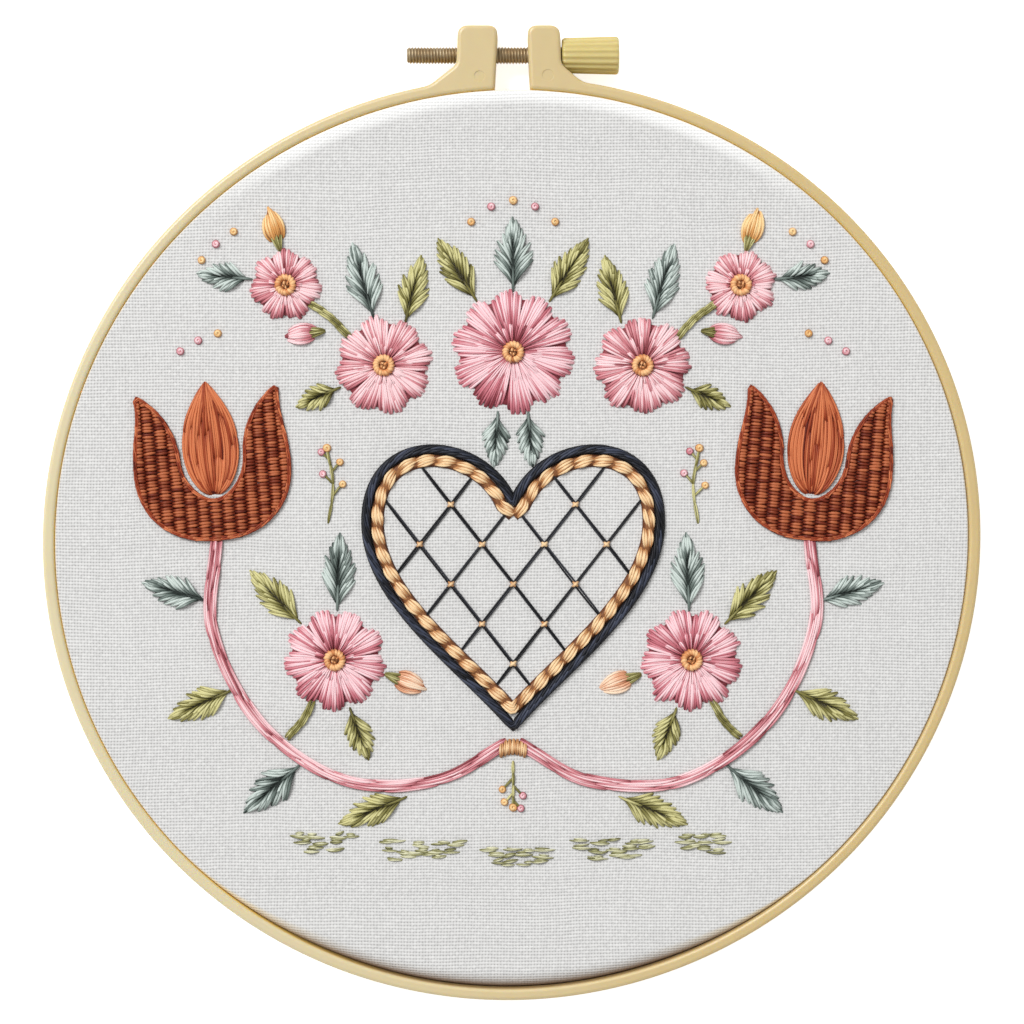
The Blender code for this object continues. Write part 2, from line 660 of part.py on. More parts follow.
def make_embroidery():
    make_heart()
    for side_name, side in (("right", 1), ("left", -1)):
        stitched_line(f"stem_{side_name}", flipped(through(STEM_ROUTE, 4), side), STEM_WIDTH,
                      STEM_HEIGHT, False, "pink_thread", hoop)
        for name, route in VINE_ROUTES.items():
            stitched_line(f"vine_{name}_{side_name}", flipped(through(route, 3), side), VINE_WIDTH,
                          VINE_HEIGHT, False, "olive_thread", hoop)
        make_tulip(side_name, side)
    for row in DAISIES:
        for name, side in sides_of(row):
            make_daisy(name, side * row["x"], row["y"], row["radius"])
    for row in LEAVES:
        for name, side in sides_of(row):
            almond(name, row, side, LEAF_HEIGHT, hoop)
    for row in BUDS:
        for name, side in sides_of(row):
            almond(name, row, side, BUD_HEIGHT, hoop)


clear_scene()
parts = new_collection("embroidered_hoop")
cutters = new_collection("cutters")
make_materials()
hoop = make_empty("hoop_centre", (0, HOOP_CENTRE_Y, 0))
screw_axis = make_empty("screw_axis", (0, SCREW_Y, SCREW_Z), hoop)
make_outer_ring()
make_inner_ring()
make_cloth()
make_screw()
make_embroidery()
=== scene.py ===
import math

import bmesh
import bpy
import numpy as np
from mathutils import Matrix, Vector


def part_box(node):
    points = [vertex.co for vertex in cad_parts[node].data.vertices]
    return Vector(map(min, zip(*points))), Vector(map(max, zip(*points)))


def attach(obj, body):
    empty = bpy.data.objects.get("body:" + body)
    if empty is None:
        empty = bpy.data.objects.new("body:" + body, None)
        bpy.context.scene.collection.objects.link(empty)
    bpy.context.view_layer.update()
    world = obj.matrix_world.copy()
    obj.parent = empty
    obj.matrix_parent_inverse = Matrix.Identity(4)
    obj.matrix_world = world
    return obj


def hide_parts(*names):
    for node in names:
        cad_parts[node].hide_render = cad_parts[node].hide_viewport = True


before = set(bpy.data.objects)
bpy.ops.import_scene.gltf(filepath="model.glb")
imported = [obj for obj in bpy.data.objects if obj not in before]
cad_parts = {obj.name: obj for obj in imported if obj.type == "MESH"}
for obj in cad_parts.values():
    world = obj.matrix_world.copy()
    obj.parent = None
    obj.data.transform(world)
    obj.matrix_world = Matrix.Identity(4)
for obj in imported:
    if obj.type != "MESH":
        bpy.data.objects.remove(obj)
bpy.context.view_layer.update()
print("frame loaded:", len(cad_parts), "solids")

mm = 0.001
clothLow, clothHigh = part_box("cloth")
hoopY = (clothLow.y + clothHigh.y) / 2      # the hoop's centre; x = 0
clothTop = clothHigh.z
rng = np.random.default_rng(41)             # every small unevenness comes from here


def srgb(red, green, blue):
    shares = [value / 255 for value in (red, green, blue)]
    return (*[s / 12.92 if s < 0.04 else ((s + 0.055) / 1.055) ** 2.4 for s in shares], 1.0)


def plug(tree, node, given):
    # Links each socket to what it's given, or sets it to that value.
    for socket, value in given.items():
        if isinstance(value, bpy.types.NodeSocket):
            tree.links.new(value, node.inputs[socket])
        else:
            node.inputs[socket].default_value = value


def addNode(tree, kind, given=None, **settings):
    made = tree.nodes.new(kind)
    for setting, value in settings.items():
        setattr(made, setting, value)
    plug(tree, made, given or {})
    return made


def maths(tree, operation, *values, clamp=False):
    made = addNode(tree, "ShaderNodeMath", dict(enumerate(values)), operation=operation, use_clamp=clamp)
    return made.outputs[0]


def plus(tree, first, second):
    return maths(tree, "ADD", first, second)


def minus(tree, first, second):
    return maths(tree, "SUBTRACT", first, second)


def times(tree, first, second):
    return maths(tree, "MULTIPLY", first, second)


def timesPlus(tree, value, factor, added):
    return maths(tree, "MULTIPLY_ADD", value, factor, added)


def noise(tree, place, scale, detail=2.0, roughness=0.5):
    made = addNode(tree, "ShaderNodeTexNoise",
                   {"Vector": place, "Scale": scale, "Detail": detail, "Roughness": roughness})
    return made.outputs["Fac"]


def smoothStep(tree, value, low, high, start=0.0, end=1.0):
    made = addNode(tree, "ShaderNodeMapRange", {0: value, 1: low, 2: high, 3: start, 4: end},
                   interpolation_type="SMOOTHSTEP")
    return made.outputs[0]


def mixColour(tree, share, first, second):
    return addNode(tree, "ShaderNodeMix", {0: share, 6: first, 7: second}, data_type="RGBA").outputs[2]


def pointValue(tree, name):
    return addNode(tree, "ShaderNodeAttribute", attribute_name=name).outputs["Fac"]


def bumpFrom(tree, height, strength, distance):
    made = addNode(tree, "ShaderNodeBump", {"Height": height, "Strength": strength, "Distance": distance})
    return made.outputs["Normal"]


def newGroup(name, inputs, outputs):
    tree = bpy.data.node_groups.new(name, "ShaderNodeTree")
    for way, sockets in (("INPUT", inputs), ("OUTPUT", outputs)):
        for socket, kind in sockets.items():
            tree.interface.new_socket(name=socket, in_out=way, socket_type=f"NodeSocket{kind}")
    return tree, tree.nodes.new("NodeGroupInput").outputs, tree.nodes.new("NodeGroupOutput")


def placeGroup(tree, group, given):
    return addNode(tree, "ShaderNodeGroup", given, node_tree=group).outputs


def newMaterial(name):
    material = bpy.data.materials.new(name)
    material.use_nodes = True
    return material, material.node_tree, material.node_tree.nodes["Principled BSDF"]


# The hoop lies on a pale table and is seen from straight above.
viewSetup = {"eye": (-0.00026, 0.0062, 0.709), "aimY": 0.00022, "aimZ": 0.009, "width": 0.2296,
             "sensor": 36.0, "nearest": 0.01}
lightSetup = {"keyPlace": (-1.61, 1.89, 2.94), "keySize": 1.68, "keyPower": 112.5, "sky": 0.51,
              "colour": (1.0, 1.0, 1.0, 1.0)}
tableLook = {"reach": 2.5, "below": 0.1 * mm, "pale": (0.93, 0.93, 0.93, 1.0),
             "dull": (0.9207, 0.9207, 0.9207, 1.0), "cloudScale": 400.0, "roughness": 0.9, "shine": 0.1,
             "glow": 0.28, "seenGlow": 0.42}


def setView():
    eye = viewSetup["eye"]
    back, up = eye[1] - viewSetup["aimY"], eye[2] - viewSetup["aimZ"]
    data = bpy.data.cameras.new("viewFromAbove")
    data.sensor_width = viewSetup["sensor"]
    data.lens = data.sensor_width * math.hypot(back, up) / viewSetup["width"]
    data.clip_start = viewSetup["nearest"]
    camera = bpy.data.objects.new("viewFromAbove", data)
    camera.location = eye
    camera.rotation_euler.x = -math.atan2(back, up)
    bpy.context.scene.collection.objects.link(camera)
    bpy.context.scene.camera = camera


def setLight():
    scene = bpy.context.scene
    scene.view_settings.view_transform = "Standard"
    world = bpy.data.worlds.new("paleStudio")
    world.use_nodes = True
    plug(world.node_tree, world.node_tree.nodes["Background"],
         {"Color": lightSetup["colour"], "Strength": lightSetup["sky"]})
    scene.world = world
    data = bpy.data.lights.new("softKey", "AREA")
    data.shape = "DISK"
    data.size = lightSetup["keySize"]
    data.energy = lightSetup["keyPower"]
    key = bpy.data.objects.new("softKey", data)
    key.location = lightSetup["keyPlace"]
    key.rotation_euler = key.location.to_track_quat("Z", "Y").to_euler()
    scene.collection.objects.link(key)


def setTable():
    mesh = bpy.data.meshes.new("table")
    reach = tableLook["reach"]
    mesh.from_pydata([(-reach, -reach, 0), (reach, -reach, 0), (reach, reach, 0), (-reach, reach, 0)],
                     [], [(0, 1, 2, 3)])
    table = bpy.data.objects.new("table", mesh)
    table.location.z = -tableLook["below"]
    material, tree, shader = newMaterial("tablePaper")
    place = addNode(tree, "ShaderNodeNewGeometry").outputs["Position"]
    cloud = noise(tree, place, tableLook["cloudScale"])
    seen = addNode(tree, "ShaderNodeLightPath").outputs["Is Camera Ray"]
    plug(tree, shader, {
        "Base Color": mixColour(tree, cloud, tableLook["dull"], tableLook["pale"]),
        "Roughness": tableLook["roughness"], "Specular IOR Level": tableLook["shine"],
        "Emission Color": lightSetup["colour"],
        "Emission Strength": timesPlus(tree, seen, tableLook["seenGlow"], tableLook["glow"])})
    mesh.materials.append(material)
    bpy.context.scene.collection.objects.link(table)


setView()
setLight()
setTable()
print("camera and light set")


weaveShape = {"wanders": ((30.0, 1.0), (150.0, 0.16)), "slubStep": 3.7, "slubRun": 1250.0, "slubShare": 0.9,
              "ownShare": 0.1, "swelling": 4.0, "thinnest": 0.3, "shifts": {"weft": 0.0, "warp": 41.0},
              "weftRise": (0.10, 0.90), "warpRise": (-0.14, 0.62), "warpCover": (-0.64, 1.0),
              "columnGap": 0.16, "weftTone": 0.6, "warpTone": 0.4}


def makePlainWeave():
    # Weft rows over warp columns, with wandering rows, slubs and the small holes between threads.
    tree, given, result = newGroup(
        "plainWeave", {"Cloth": "Vector", "Warp Pitch": "Float", "Weft Pitch": "Float", "Wander": "Float"},
        {"Tone": "Float", "Open": "Float", "Height": "Float"})
    place = given["Cloth"]
    for scale, share in weaveShape["wanders"]:
        drift = addNode(tree, "ShaderNodeTexNoise", {"Vector": given["Cloth"], "Scale": scale, "Detail": 1.0})
        centred = addNode(tree, "ShaderNodeVectorMath",
                          {0: drift.outputs["Color"], 1: (0.5, 0.5, 0.5)}, operation="SUBTRACT")
        pulled = addNode(tree, "ShaderNodeVectorMath",
                         {0: centred.outputs[0], "Scale": times(tree, given["Wander"], share)},
                         operation="SCALE")
        place = addNode(tree, "ShaderNodeVectorMath", {0: place, 1: pulled.outputs[0]},
                        operation="ADD").outputs[0]
    x, y, _ = addNode(tree, "ShaderNodeSeparateXYZ", {0: place}).outputs
    threads = {}
    for name, over, along, pitch, otherPitch in (("weft", y, x, given["Weft Pitch"], given["Warp Pitch"]),
                                                 ("warp", x, y, given["Warp Pitch"], given["Weft Pitch"])):
        shift = weaveShape["shifts"][name]
        count = maths(tree, "DIVIDE", over, pitch)
        row = maths(tree, "FLOOR", count)
        slubPlace = addNode(tree, "ShaderNodeCombineXYZ", {
            0: times(tree, row, weaveShape["slubStep"]), 1: times(tree, along, weaveShape["slubRun"]),
            2: shift})
        slub = noise(tree, slubPlace.outputs[0], 1.0)
        own = addNode(tree, "ShaderNodeTexWhiteNoise", {"W": plus(tree, row, shift)},
                      noise_dimensions="1D").outputs["Value"]
        fullness = plus(tree, times(tree, slub, weaveShape["slubShare"]),
                        times(tree, own, weaveShape["ownShare"]))
        # 0 in a thread's middle and 1 at its edge; a slub closes the gap beside it
        fromMiddle = maths(tree, "ABSOLUTE", timesPlus(tree, maths(tree, "FRACT", count), 2.0, -1.0))
        thick = timesPlus(tree, fullness, weaveShape["swelling"], weaveShape["thinnest"])
        gap = maths(tree, "POWER", fromMiddle, thick)
        turn = plus(tree, maths(tree, "DIVIDE", along, otherPitch), row)
        wave = maths(tree, "COSINE", times(tree, minus(tree, turn, 0.5), math.pi))
        threads[name] = {"tone": fullness, "gap": gap, "wave": wave, "round": minus(tree, 1.0, gap)}
    weft, warp = threads["weft"], threads["warp"]
    weftHeight = times(tree, weft["round"], timesPlus(tree, weft["wave"], *weaveShape["weftRise"]))
    warpHeight = times(tree, warp["round"], timesPlus(tree, warp["wave"], *weaveShape["warpRise"]))
    betweenRows = times(tree, weft["gap"], timesPlus(tree, warp["round"], *weaveShape["warpCover"]))
    betweenColumns = times(tree, warp["gap"], weaveShape["columnGap"])
    plug(tree, result, {
        "Tone": plus(tree, times(tree, weft["tone"], weaveShape["weftTone"]),
                     times(tree, warp["tone"], weaveShape["warpTone"])),
        "Open": maths(tree, "ADD", betweenRows, betweenColumns, clamp=True),
        "Height": maths(tree, "MAXIMUM", weftHeight, warpHeight)})
    return tree


fibreShape = {"around": 11.0, "along": 170.0, "detail": 3.0, "grit": 0.6, "slow": 90.0, "slowShare": 0.35,
              "roughness": (-0.3, 0.66)}


def makeFlossFibres():
    # Fine fibres laid along a thread with a slight twist; Shade comes from the stitch itself.
    tree, given, result = newGroup(
        "flossFibres", {"Thread": "Vector", "Shade": "Float", "Dark": "Color", "Middle": "Color",
                        "Light": "Color", "Contrast": "Float", "Twist": "Float"},
        {"Color": "Color", "Roughness": "Float", "Height": "Float"})
    around, along, _ = addNode(tree, "ShaderNodeSeparateXYZ", {0: given["Thread"]}).outputs
    place = addNode(tree, "ShaderNodeCombineXYZ", {
        0: plus(tree, times(tree, around, fibreShape["around"]), times(tree, along, given["Twist"])),
        1: times(tree, along, fibreShape["along"])})
    fibre = noise(tree, place.outputs[0], 1.0, fibreShape["detail"], fibreShape["grit"])
    slow = noise(tree, given["Thread"], fibreShape["slow"], 1.0)
    spread = times(tree, minus(tree, fibre, 0.5), given["Contrast"])
    drift = times(tree, minus(tree, slow, 0.5), fibreShape["slowShare"])
    level = plus(tree, plus(tree, given["Shade"], spread), drift)
    lower = mixColour(tree, smoothStep(tree, level, 0.0, 0.5), given["Dark"], given["Middle"])
    plug(tree, result, {
        "Color": mixColour(tree, smoothStep(tree, level, 0.5, 1.0), lower, given["Light"]),
        "Roughness": timesPlus(tree, fibre, *fibreShape["roughness"]), "Height": fibre})
    return tree


skinShape = {"cloud": 38.0, "cloudShare": 0.75, "flowShare": 0.16, "grain": 2600.0, "grainHeight": 0.6,
             "flow": {"Scale": 60.0, "Distortion": 9.0, "Detail": 2.0, "Detail Scale": 1.2},
             "scratch": 420.0, "scratchGrit": 0.7, "scratchEdge": (0.62, 0.74),
             "scratchRun": {"Rotation": (0.3, 0.2, 0.6), "Scale": (1.0, 14.0, 3.0)},
             "roughness": (0.16, 0.30), "scuffRoughness": 0.25, "scuffDepth": 0.5}


def makeMouldedSkin():
    # Injection-moulded plastic: cloudy colour, flow lines, fine grain and light scuffs.
    tree, given, result = newGroup(
        "mouldedSkin", {"Place": "Vector", "Body": "Color", "Deep": "Color", "Scuffs": "Float"},
        {"Color": "Color", "Roughness": "Float", "Height": "Float"})
    place = given["Place"]
    cloud = noise(tree, place, skinShape["cloud"], 3.0)
    flow = addNode(tree, "ShaderNodeTexWave", {"Vector": place, **skinShape["flow"]}).outputs["Fac"]
    grain = noise(tree, place, skinShape["grain"])
    stretched = addNode(tree, "ShaderNodeMapping", {"Vector": place, **skinShape["scratchRun"]}).outputs[0]
    scratch = smoothStep(tree, noise(tree, stretched, skinShape["scratch"], 3.0, skinShape["scratchGrit"]),
                         *skinShape["scratchEdge"])
    scuff = times(tree, scratch, given["Scuffs"])
    share = maths(tree, "ADD", times(tree, cloud, skinShape["cloudShare"]),
                  times(tree, flow, skinShape["flowShare"]), clamp=True)
    plug(tree, result, {
        "Color": mixColour(tree, share, given["Deep"], given["Body"]),
        "Roughness": plus(tree, timesPlus(tree, cloud, *skinShape["roughness"]),
                          times(tree, scuff, skinShape["scuffRoughness"])),
        "Height": minus(tree, times(tree, grain, skinShape["grainHeight"]),
                        times(tree, scuff, skinShape["scuffDepth"]))})
    return tree


plainWeave = makePlainWeave()
flossFibres = makeFlossFibres()
mouldedSkin = makeMouldedSkin()
print("shader groups made")


creamLook = {"body": (0.69, 0.532, 0.262, 1.0), "deep": (0.63, 0.479, 0.22, 1.0), "scuffs": 0.4,
             "coat": 0.15, "soak": 1.2 * mm, "litPale": (0.735, 0.66, 0.44, 1.0),
             "litAcross": (-0.09, 0.075, 0.85, 0.0), "litUp": (0.03, 0.09, 1.0, 0.62),
             "amber": (0.80, 0.53, 0.10, 1.0), "shadedGlowAmber": (0.42, 0.285, 0.12, 1.0),
             "shadedGlowEdge": (0.02, 0.09)}
knobLook = {"body": (0.68, 0.57, 0.235, 1.0), "deep": (0.60, 0.48, 0.18, 1.0), "scuffs": 0.6, "coat": 0.1,
            "soak": 2.5 * mm}


def makePlastic(name, look):
    material, tree, shader = newMaterial(name)
    place = addNode(tree, "ShaderNodeTexCoord").outputs["Object"]
    skin = placeGroup(tree, mouldedSkin, {"Place": place, "Body": look["body"], "Deep": look["deep"],
                                          "Scuffs": look["scuffs"]})
    colour = skin["Color"]
    if "litPale" in look:
        x, y, _ = addNode(tree, "ShaderNodeSeparateXYZ", {0: place}).outputs
        # painted light: paler on the left, the side towards the lamp, a little less so near the top
        share = times(tree, smoothStep(tree, x, *look["litAcross"]), smoothStep(tree, y, *look["litUp"]))
        colour = mixColour(tree, share, colour, look["litPale"])
        # painted glow of light through the plastic: amber down the ring's inner side, with painted shade
        # making it duller at the lower right
        dull = smoothStep(tree, minus(tree, x, y), *look["shadedGlowEdge"])
        amber = mixColour(tree, dull, look["amber"], look["shadedGlowAmber"])
        colour = mixColour(tree, pointValue(tree, "inside"), colour, amber)
    plug(tree, shader, {
        "Base Color": colour, "Roughness": skin["Roughness"],
        "Normal": bumpFrom(tree, skin["Height"], 0.25, 0.05 * mm), "Specular IOR Level": 0.5,
        "Coat Weight": look["coat"], "Coat Roughness": 0.2,
        # light soaks in and evens out the edges
        "Subsurface Weight": 0.45, "Subsurface Radius": (1.0, 0.7, 0.25), "Subsurface Scale": look["soak"]})
    return material


linenLook = {"warpPitch": 0.678 * mm, "weftPitch": 0.732 * mm, "wander": 1.8 * mm,
             "pale": (0.826, 0.821, 0.807, 1.0), "dull": (0.718, 0.713, 0.703, 1.0), "toneEdge": (0.3, 0.7),
             "cloudScale": 55.0, "weaveShare": 0.94, "cloudShare": 0.06,
             "hole": (0.22, 0.215, 0.21, 1.0), "holeShadeDepth": 0.72, "litStripOver": (-0.9, 1.0),
             "litStrip": (0.98, 0.98, 0.97, 1.0), "fold": (0.28, 0.155, 0.095, 1.0),
             "warm": (0.96, 0.77, 0.44, 1.0), "fluffScale": 5200.0, "fluffHeight": 0.18, "relief": 0.65,
             "reliefDepth": 0.22 * mm, "roughness": (0.12, 0.8)}


def makeLinen(look):
    material, tree, shader = newMaterial("offWhiteLinen")
    cloth = addNode(tree, "ShaderNodeUVMap", uv_map="cut").outputs[0]
    weave = placeGroup(tree, plainWeave, {"Cloth": cloth, "Warp Pitch": look["warpPitch"],
                                          "Weft Pitch": look["weftPitch"], "Wander": look["wander"]})
    cloud = noise(tree, cloth, look["cloudScale"], 3.0)
    tone = plus(tree, times(tree, weave["Tone"], look["weaveShare"]), times(tree, cloud, look["cloudShare"]))
    thread = mixColour(tree, smoothStep(tree, tone, *look["toneEdge"]), look["dull"], look["pale"])
    # by the ring: painted highlight above, painted shade below, painted reflection of the plastic elsewhere
    litStrip, fold, warm = (pointValue(tree, name) for name in ("litStrip", "fold", "warm"))
    thread = mixColour(tree, litStrip, thread, look["litStrip"])
    # painted shade in the small holes between threads, less on the painted lit strip
    holes = times(tree, times(tree, weave["Open"], look["holeShadeDepth"]),
                  timesPlus(tree, litStrip, *look["litStripOver"]))
    # the bend by the ring gets a painted reflection of the amber plastic
    woven = mixColour(tree, warm, mixColour(tree, holes, thread, look["hole"]), look["warm"])
    fluff = noise(tree, cloth, look["fluffScale"])
    height = plus(tree, weave["Height"], times(tree, fluff, look["fluffHeight"]))
    plug(tree, shader, {
        "Base Color": mixColour(tree, fold, woven, look["fold"]),
        "Normal": bumpFrom(tree, height, look["relief"], look["reliefDepth"]),
        "Roughness": timesPlus(tree, fluff, *look["roughness"]), "Specular IOR Level": 0.25,
        "Sheen Weight": 0.12, "Sheen Roughness": 0.5})
    return material


def makeFloss(name, dark, middle, light, contrast, sheen):
    material, tree, shader = newMaterial(name)
    fibres = placeGroup(tree, flossFibres, {
        "Thread": addNode(tree, "ShaderNodeUVMap", uv_map="thread").outputs[0],
        "Shade": pointValue(tree, "shade"), "Dark": srgb(*dark), "Middle": srgb(*middle),
        "Light": srgb(*light), "Contrast": contrast, "Twist": 300.0})
    plug(tree, shader, {
        "Base Color": fibres["Color"], "Roughness": fibres["Roughness"],
        "Normal": bumpFrom(tree, fibres["Height"], 0.6, 0.06 * mm), "Specular IOR Level": 0.3,
        "Sheen Weight": sheen, "Sheen Roughness": 0.35})
    return material


steelLook = {"pale": (0.51, 0.42, 0.28, 1.0), "brown": (0.37, 0.265, 0.145, 1.0), "tintEdge": (0.35, 0.68),
             "rootDark": (0.18, 0.11, 0.055, 1.0), "rootDarkShare": 0.25, "cloudScale": 260.0,
             "cloudRoughness": 0.22, "rootRoughness": (0.2, 0.4), "grainScale": 3800.0}


def makeRodSteel(look):
    # Yellow-passivated steel, darker in the thread's roots.
    material, tree, shader = newMaterial("passivatedSteel")
    place = addNode(tree, "ShaderNodeTexCoord").outputs["Object"]
    root = pointValue(tree, "root")
    cloud = noise(tree, place, look["cloudScale"], 3.0)
    tint = mixColour(tree, smoothStep(tree, cloud, *look["tintEdge"]), look["brown"], look["pale"])
    plug(tree, shader, {
        "Base Color": mixColour(tree, times(tree, root, look["rootDarkShare"]), tint, look["rootDark"]),
        "Roughness": plus(tree, times(tree, cloud, look["cloudRoughness"]),
                          timesPlus(tree, root, *look["rootRoughness"])),
        "Normal": bumpFrom(tree, noise(tree, place, look["grainScale"]), 0.15, 0.03 * mm),
        "Metallic": 1.0})
    return material


creamPlastic = makePlastic("creamPlastic", creamLook)
knobPlastic = makePlastic("knobPlastic", knobLook)
offWhiteLinen = makeLinen(linenLook)
passivatedSteel = makeRodSteel(steelLook)

# Stranded cotton: dark, middle and light tones, then contrast and sheen.
flossTones = {
    "navy": ((3, 4, 7), (18, 20, 28), (64, 70, 88), 0.6, 0.03),
    "black": ((4, 4, 6), (14, 14, 18), (54, 56, 64), 0.5, 0.03),
    "tan": ((100, 52, 24), (196, 138, 86), (250, 216, 168), 0.45, 0.2),
    "pink": ((138, 58, 66), (212, 132, 140), (252, 216, 219), 0.6, 0.26),
    "rose": ((126, 46, 56), (206, 118, 130), (252, 214, 219), 0.6, 0.26),
    "rust": ((62, 6, 0), (116, 40, 14), (188, 104, 64), 0.55, 0.03),
    "copper": ((82, 12, 1), (154, 60, 26), (218, 126, 80), 0.55, 0.08),
    "sage": ((34, 44, 40), (106, 119, 113), (206, 217, 211), 0.6, 0.22),
    "olive": ((48, 42, 8), (124, 118, 60), (214, 208, 148), 0.6, 0.22),
    "ochre": ((150, 92, 44), (222, 160, 90), (250, 216, 158), 0.45, 0.25),
    "apricot": ((140, 70, 36), (214, 140, 84), (248, 196, 140), 0.45, 0.25),
    "peach": ((160, 96, 62), (226, 164, 126), (250, 222, 194), 0.45, 0.25),
    "brown": ((44, 20, 8), (104, 58, 28), (168, 108, 62), 0.5, 0.15),
    "moss": ((86, 84, 44), (156, 154, 106), (224, 222, 188), 0.55, 0.2),
}
floss = {name: makeFloss(f"{name}Floss", *tones) for name, tones in flossTones.items()}
print("materials made:", len(bpy.data.materials))


def newPiece(name, mesh, materials, node=None, body="hoop"):
    for material in materials:
        mesh.materials.append(material)
    piece = bpy.data.objects.new(name, mesh)
    bpy.context.scene.collection.objects.link(piece)
    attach(piece, body)
    if node:
        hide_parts(node)
    return piece


def hiddenHelper(name, mesh):
    helper = bpy.data.objects.new(name, mesh)
    bpy.context.scene.collection.objects.link(helper)
    return helper


def settledMesh(helper):
    # The mesh of a curve, or of a shape with modifiers.
    bpy.context.view_layer.update()
    return bpy.data.meshes.new_from_object(helper.evaluated_get(bpy.context.evaluated_depsgraph_get()))


def addPointValues(mesh, name, numbers):
    found = mesh.attributes.new(name, "FLOAT", "POINT")
    found.data.foreach_set("value", np.asarray(numbers, np.float32))


def meshFromCorners(name, places, faces, uvName=None, uvs=None, values=None, slots=None):
    # faces is a list of arrays, each of faces with the same number of corners.
    mesh = bpy.data.meshes.new(name)
    mesh.vertices.add(len(places))
    mesh.vertices.foreach_set("co", np.asarray(places, np.float32).ravel())
    corners = np.concatenate([face.ravel() for face in faces])
    totals = np.concatenate([np.full(len(face), face.shape[1]) for face in faces])
    mesh.loops.add(len(corners))
    mesh.loops.foreach_set("vertex_index", corners.astype(np.int32))
    mesh.polygons.add(len(totals))
    starts = np.concatenate([[0], np.cumsum(totals)[:-1]])
    mesh.polygons.foreach_set("loop_start", starts.astype(np.int32))
    if slots is not None:
        mesh.polygons.foreach_set("material_index", np.asarray(slots, np.int32))
    mesh.update(calc_edges=True)
    if uvs is not None:
        layer = mesh.uv_layers.new(name=uvName)
        layer.data.foreach_set("uv", np.asarray(uvs, np.float32).ravel())
    for valueName, numbers in (values or {}).items():
        addPointValues(mesh, valueName, numbers)
    mesh.validate()
    mesh.shade_smooth()
    return mesh


def gridFaces(rows, columns):
    # Quads of a rows x columns grid of points, its last column joined to its first.
    row = np.arange(rows - 1)[:, None]
    column = np.arange(columns)[None, :]
    a, b = row * columns + column, row * columns + (column + 1) % columns
    return np.stack([a, b, b + columns, a + columns], axis=-1).reshape(-1, 4)


def tubeFaces(rows, around):
    # The same, with one face at each end.
    first = np.arange(around)
    return [gridFaces(rows, around), np.stack([first[::-1], (rows - 1) * around + first])]


def fullTurn(steps):
    return 2 * np.pi * np.arange(steps) / steps


def arcPairs(centre, radius, start, end, steps):
    angle = np.radians(np.linspace(start, end, steps + 1))
    return [(centre[0] + radius * math.cos(a), centre[1] + radius * math.sin(a)) for a in angle]


def triangles(piece):
    return sum(len(face.vertices) - 2 for face in piece.data.polygons)


# Shapes are given in millimetres from the hoop's centre, at its flat back.
outerRing = {"halfWidth": 105.0, "halfHeight": 103.3, "wall": 2.75, "depth": 9.2, "edge": 0.85,
             "edgeSteps": 4, "steps": 320}
ringOut, ringIn = outerRing["halfWidth"], outerRing["halfWidth"] - outerRing["wall"]
oval = outerRing["halfHeight"] / outerRing["halfWidth"]
lean = {"grow": 1.0025, "skew": 0.0047, "aside": -0.36}     # its squeezed shape isn't a true oval
screwPlace = {"y": 109.0, "z": 4.6, "bore": 2.07, "boreEnds": (-13.1, 14), "knobRoom": 4.5,
              "knobRoomEnds": (10.85, 26)}
# the corners' radii and steps run from the foot of the split to the foot of the slope
lugShape = {"top": 115.3, "inwards": 2.0, "onRing": 2.5,
            "corners": ((0.9, 4), (2.4, 8), (2.4, 8), (1.3, 6), (1.6, 6))}
lugSides = {
    "left": {"splitFoot": -4.15, "splitTop": -3.35, "outerTop": -12.45, "outerStep": -12.7,
             "stepY": 106.5, "slopeX": -18.9, "markX": -7.55, "markY": 103.8, "mark": 1.25},
    "right": {"splitFoot": 3.75, "splitTop": 3.1, "outerTop": 10.5, "outerStep": 10.8,
              "stepY": 106.5, "slopeX": 15.6, "markX": 7.8, "markY": 104.0, "mark": 1.35},
}
markShape = {"foot": 0.93, "rim": 1.03, "depth": 0.16, "above": 0.1, "around": 32}
insideGlow = {"below": 0.18, "fadeDown": 0.3, "ledge": 0.75, "fadeIn": 0.5}


def roundedCorner(before, corner, after, radius, steps):
    before, corner, after = (np.array(p, float) for p in (before, corner, after))
    back = (before - corner) / np.linalg.norm(before - corner)
    on = (after - corner) / np.linalg.norm(after - corner)
    t = np.linspace(0, 1, steps + 1)[:, None]
    curve = ((corner + back * radius) * (1 - t) ** 2 + corner * 2 * t * (1 - t)
             + (corner + on * radius) * t ** 2)
    return [tuple(p) for p in curve]


def leaned(points):
    points = np.asarray(points, float)
    x, y = points[..., 0], points[..., 1]
    return np.stack([x * lean["grow"] + y * lean["skew"] + lean["aside"],
                     y * lean["grow"] + x * lean["skew"]], axis=-1)


def unleaned(points):
    grow, skew = lean["grow"], lean["skew"]
    x, y = points[..., 0] - lean["aside"], points[..., 1]
    return np.stack([x * grow - y * skew, y * grow - x * skew], axis=-1) / (grow ** 2 - skew ** 2)


def ovalLine(halfWidth, angles):
    return leaned(np.stack([halfWidth * np.cos(angles), halfWidth * oval * np.sin(angles)], axis=-1))


def turnedOval(profiles, angle):
    # (radius, height) pairs for each angle, turned about Z as a true oval.
    return np.stack([profiles[..., 0] * np.cos(angle), profiles[..., 0] * np.sin(angle) * oval,
                     profiles[..., 1]], axis=-1)


def angleAt(halfWidth, x):
    # The angle at which the hoop's line passes x, near the screw.
    angles = np.radians(np.linspace(120, 60, 481))
    return float(np.interp(x, ovalLine(halfWidth, angles)[:, 0], angles))


def onOval(halfWidth, x):
    return x, float(ovalLine(halfWidth, angleAt(halfWidth, x))[1])


def ovalRun(halfWidth, fromX, toX):
    # The long way round the oval, from one side of the split to the other.
    start, end = angleAt(halfWidth, fromX), angleAt(halfWidth, toX)
    turn = -2 * math.pi if start < end else 2 * math.pi
    return ovalLine(halfWidth, np.linspace(start, end + turn, outerRing["steps"])[1:-1])


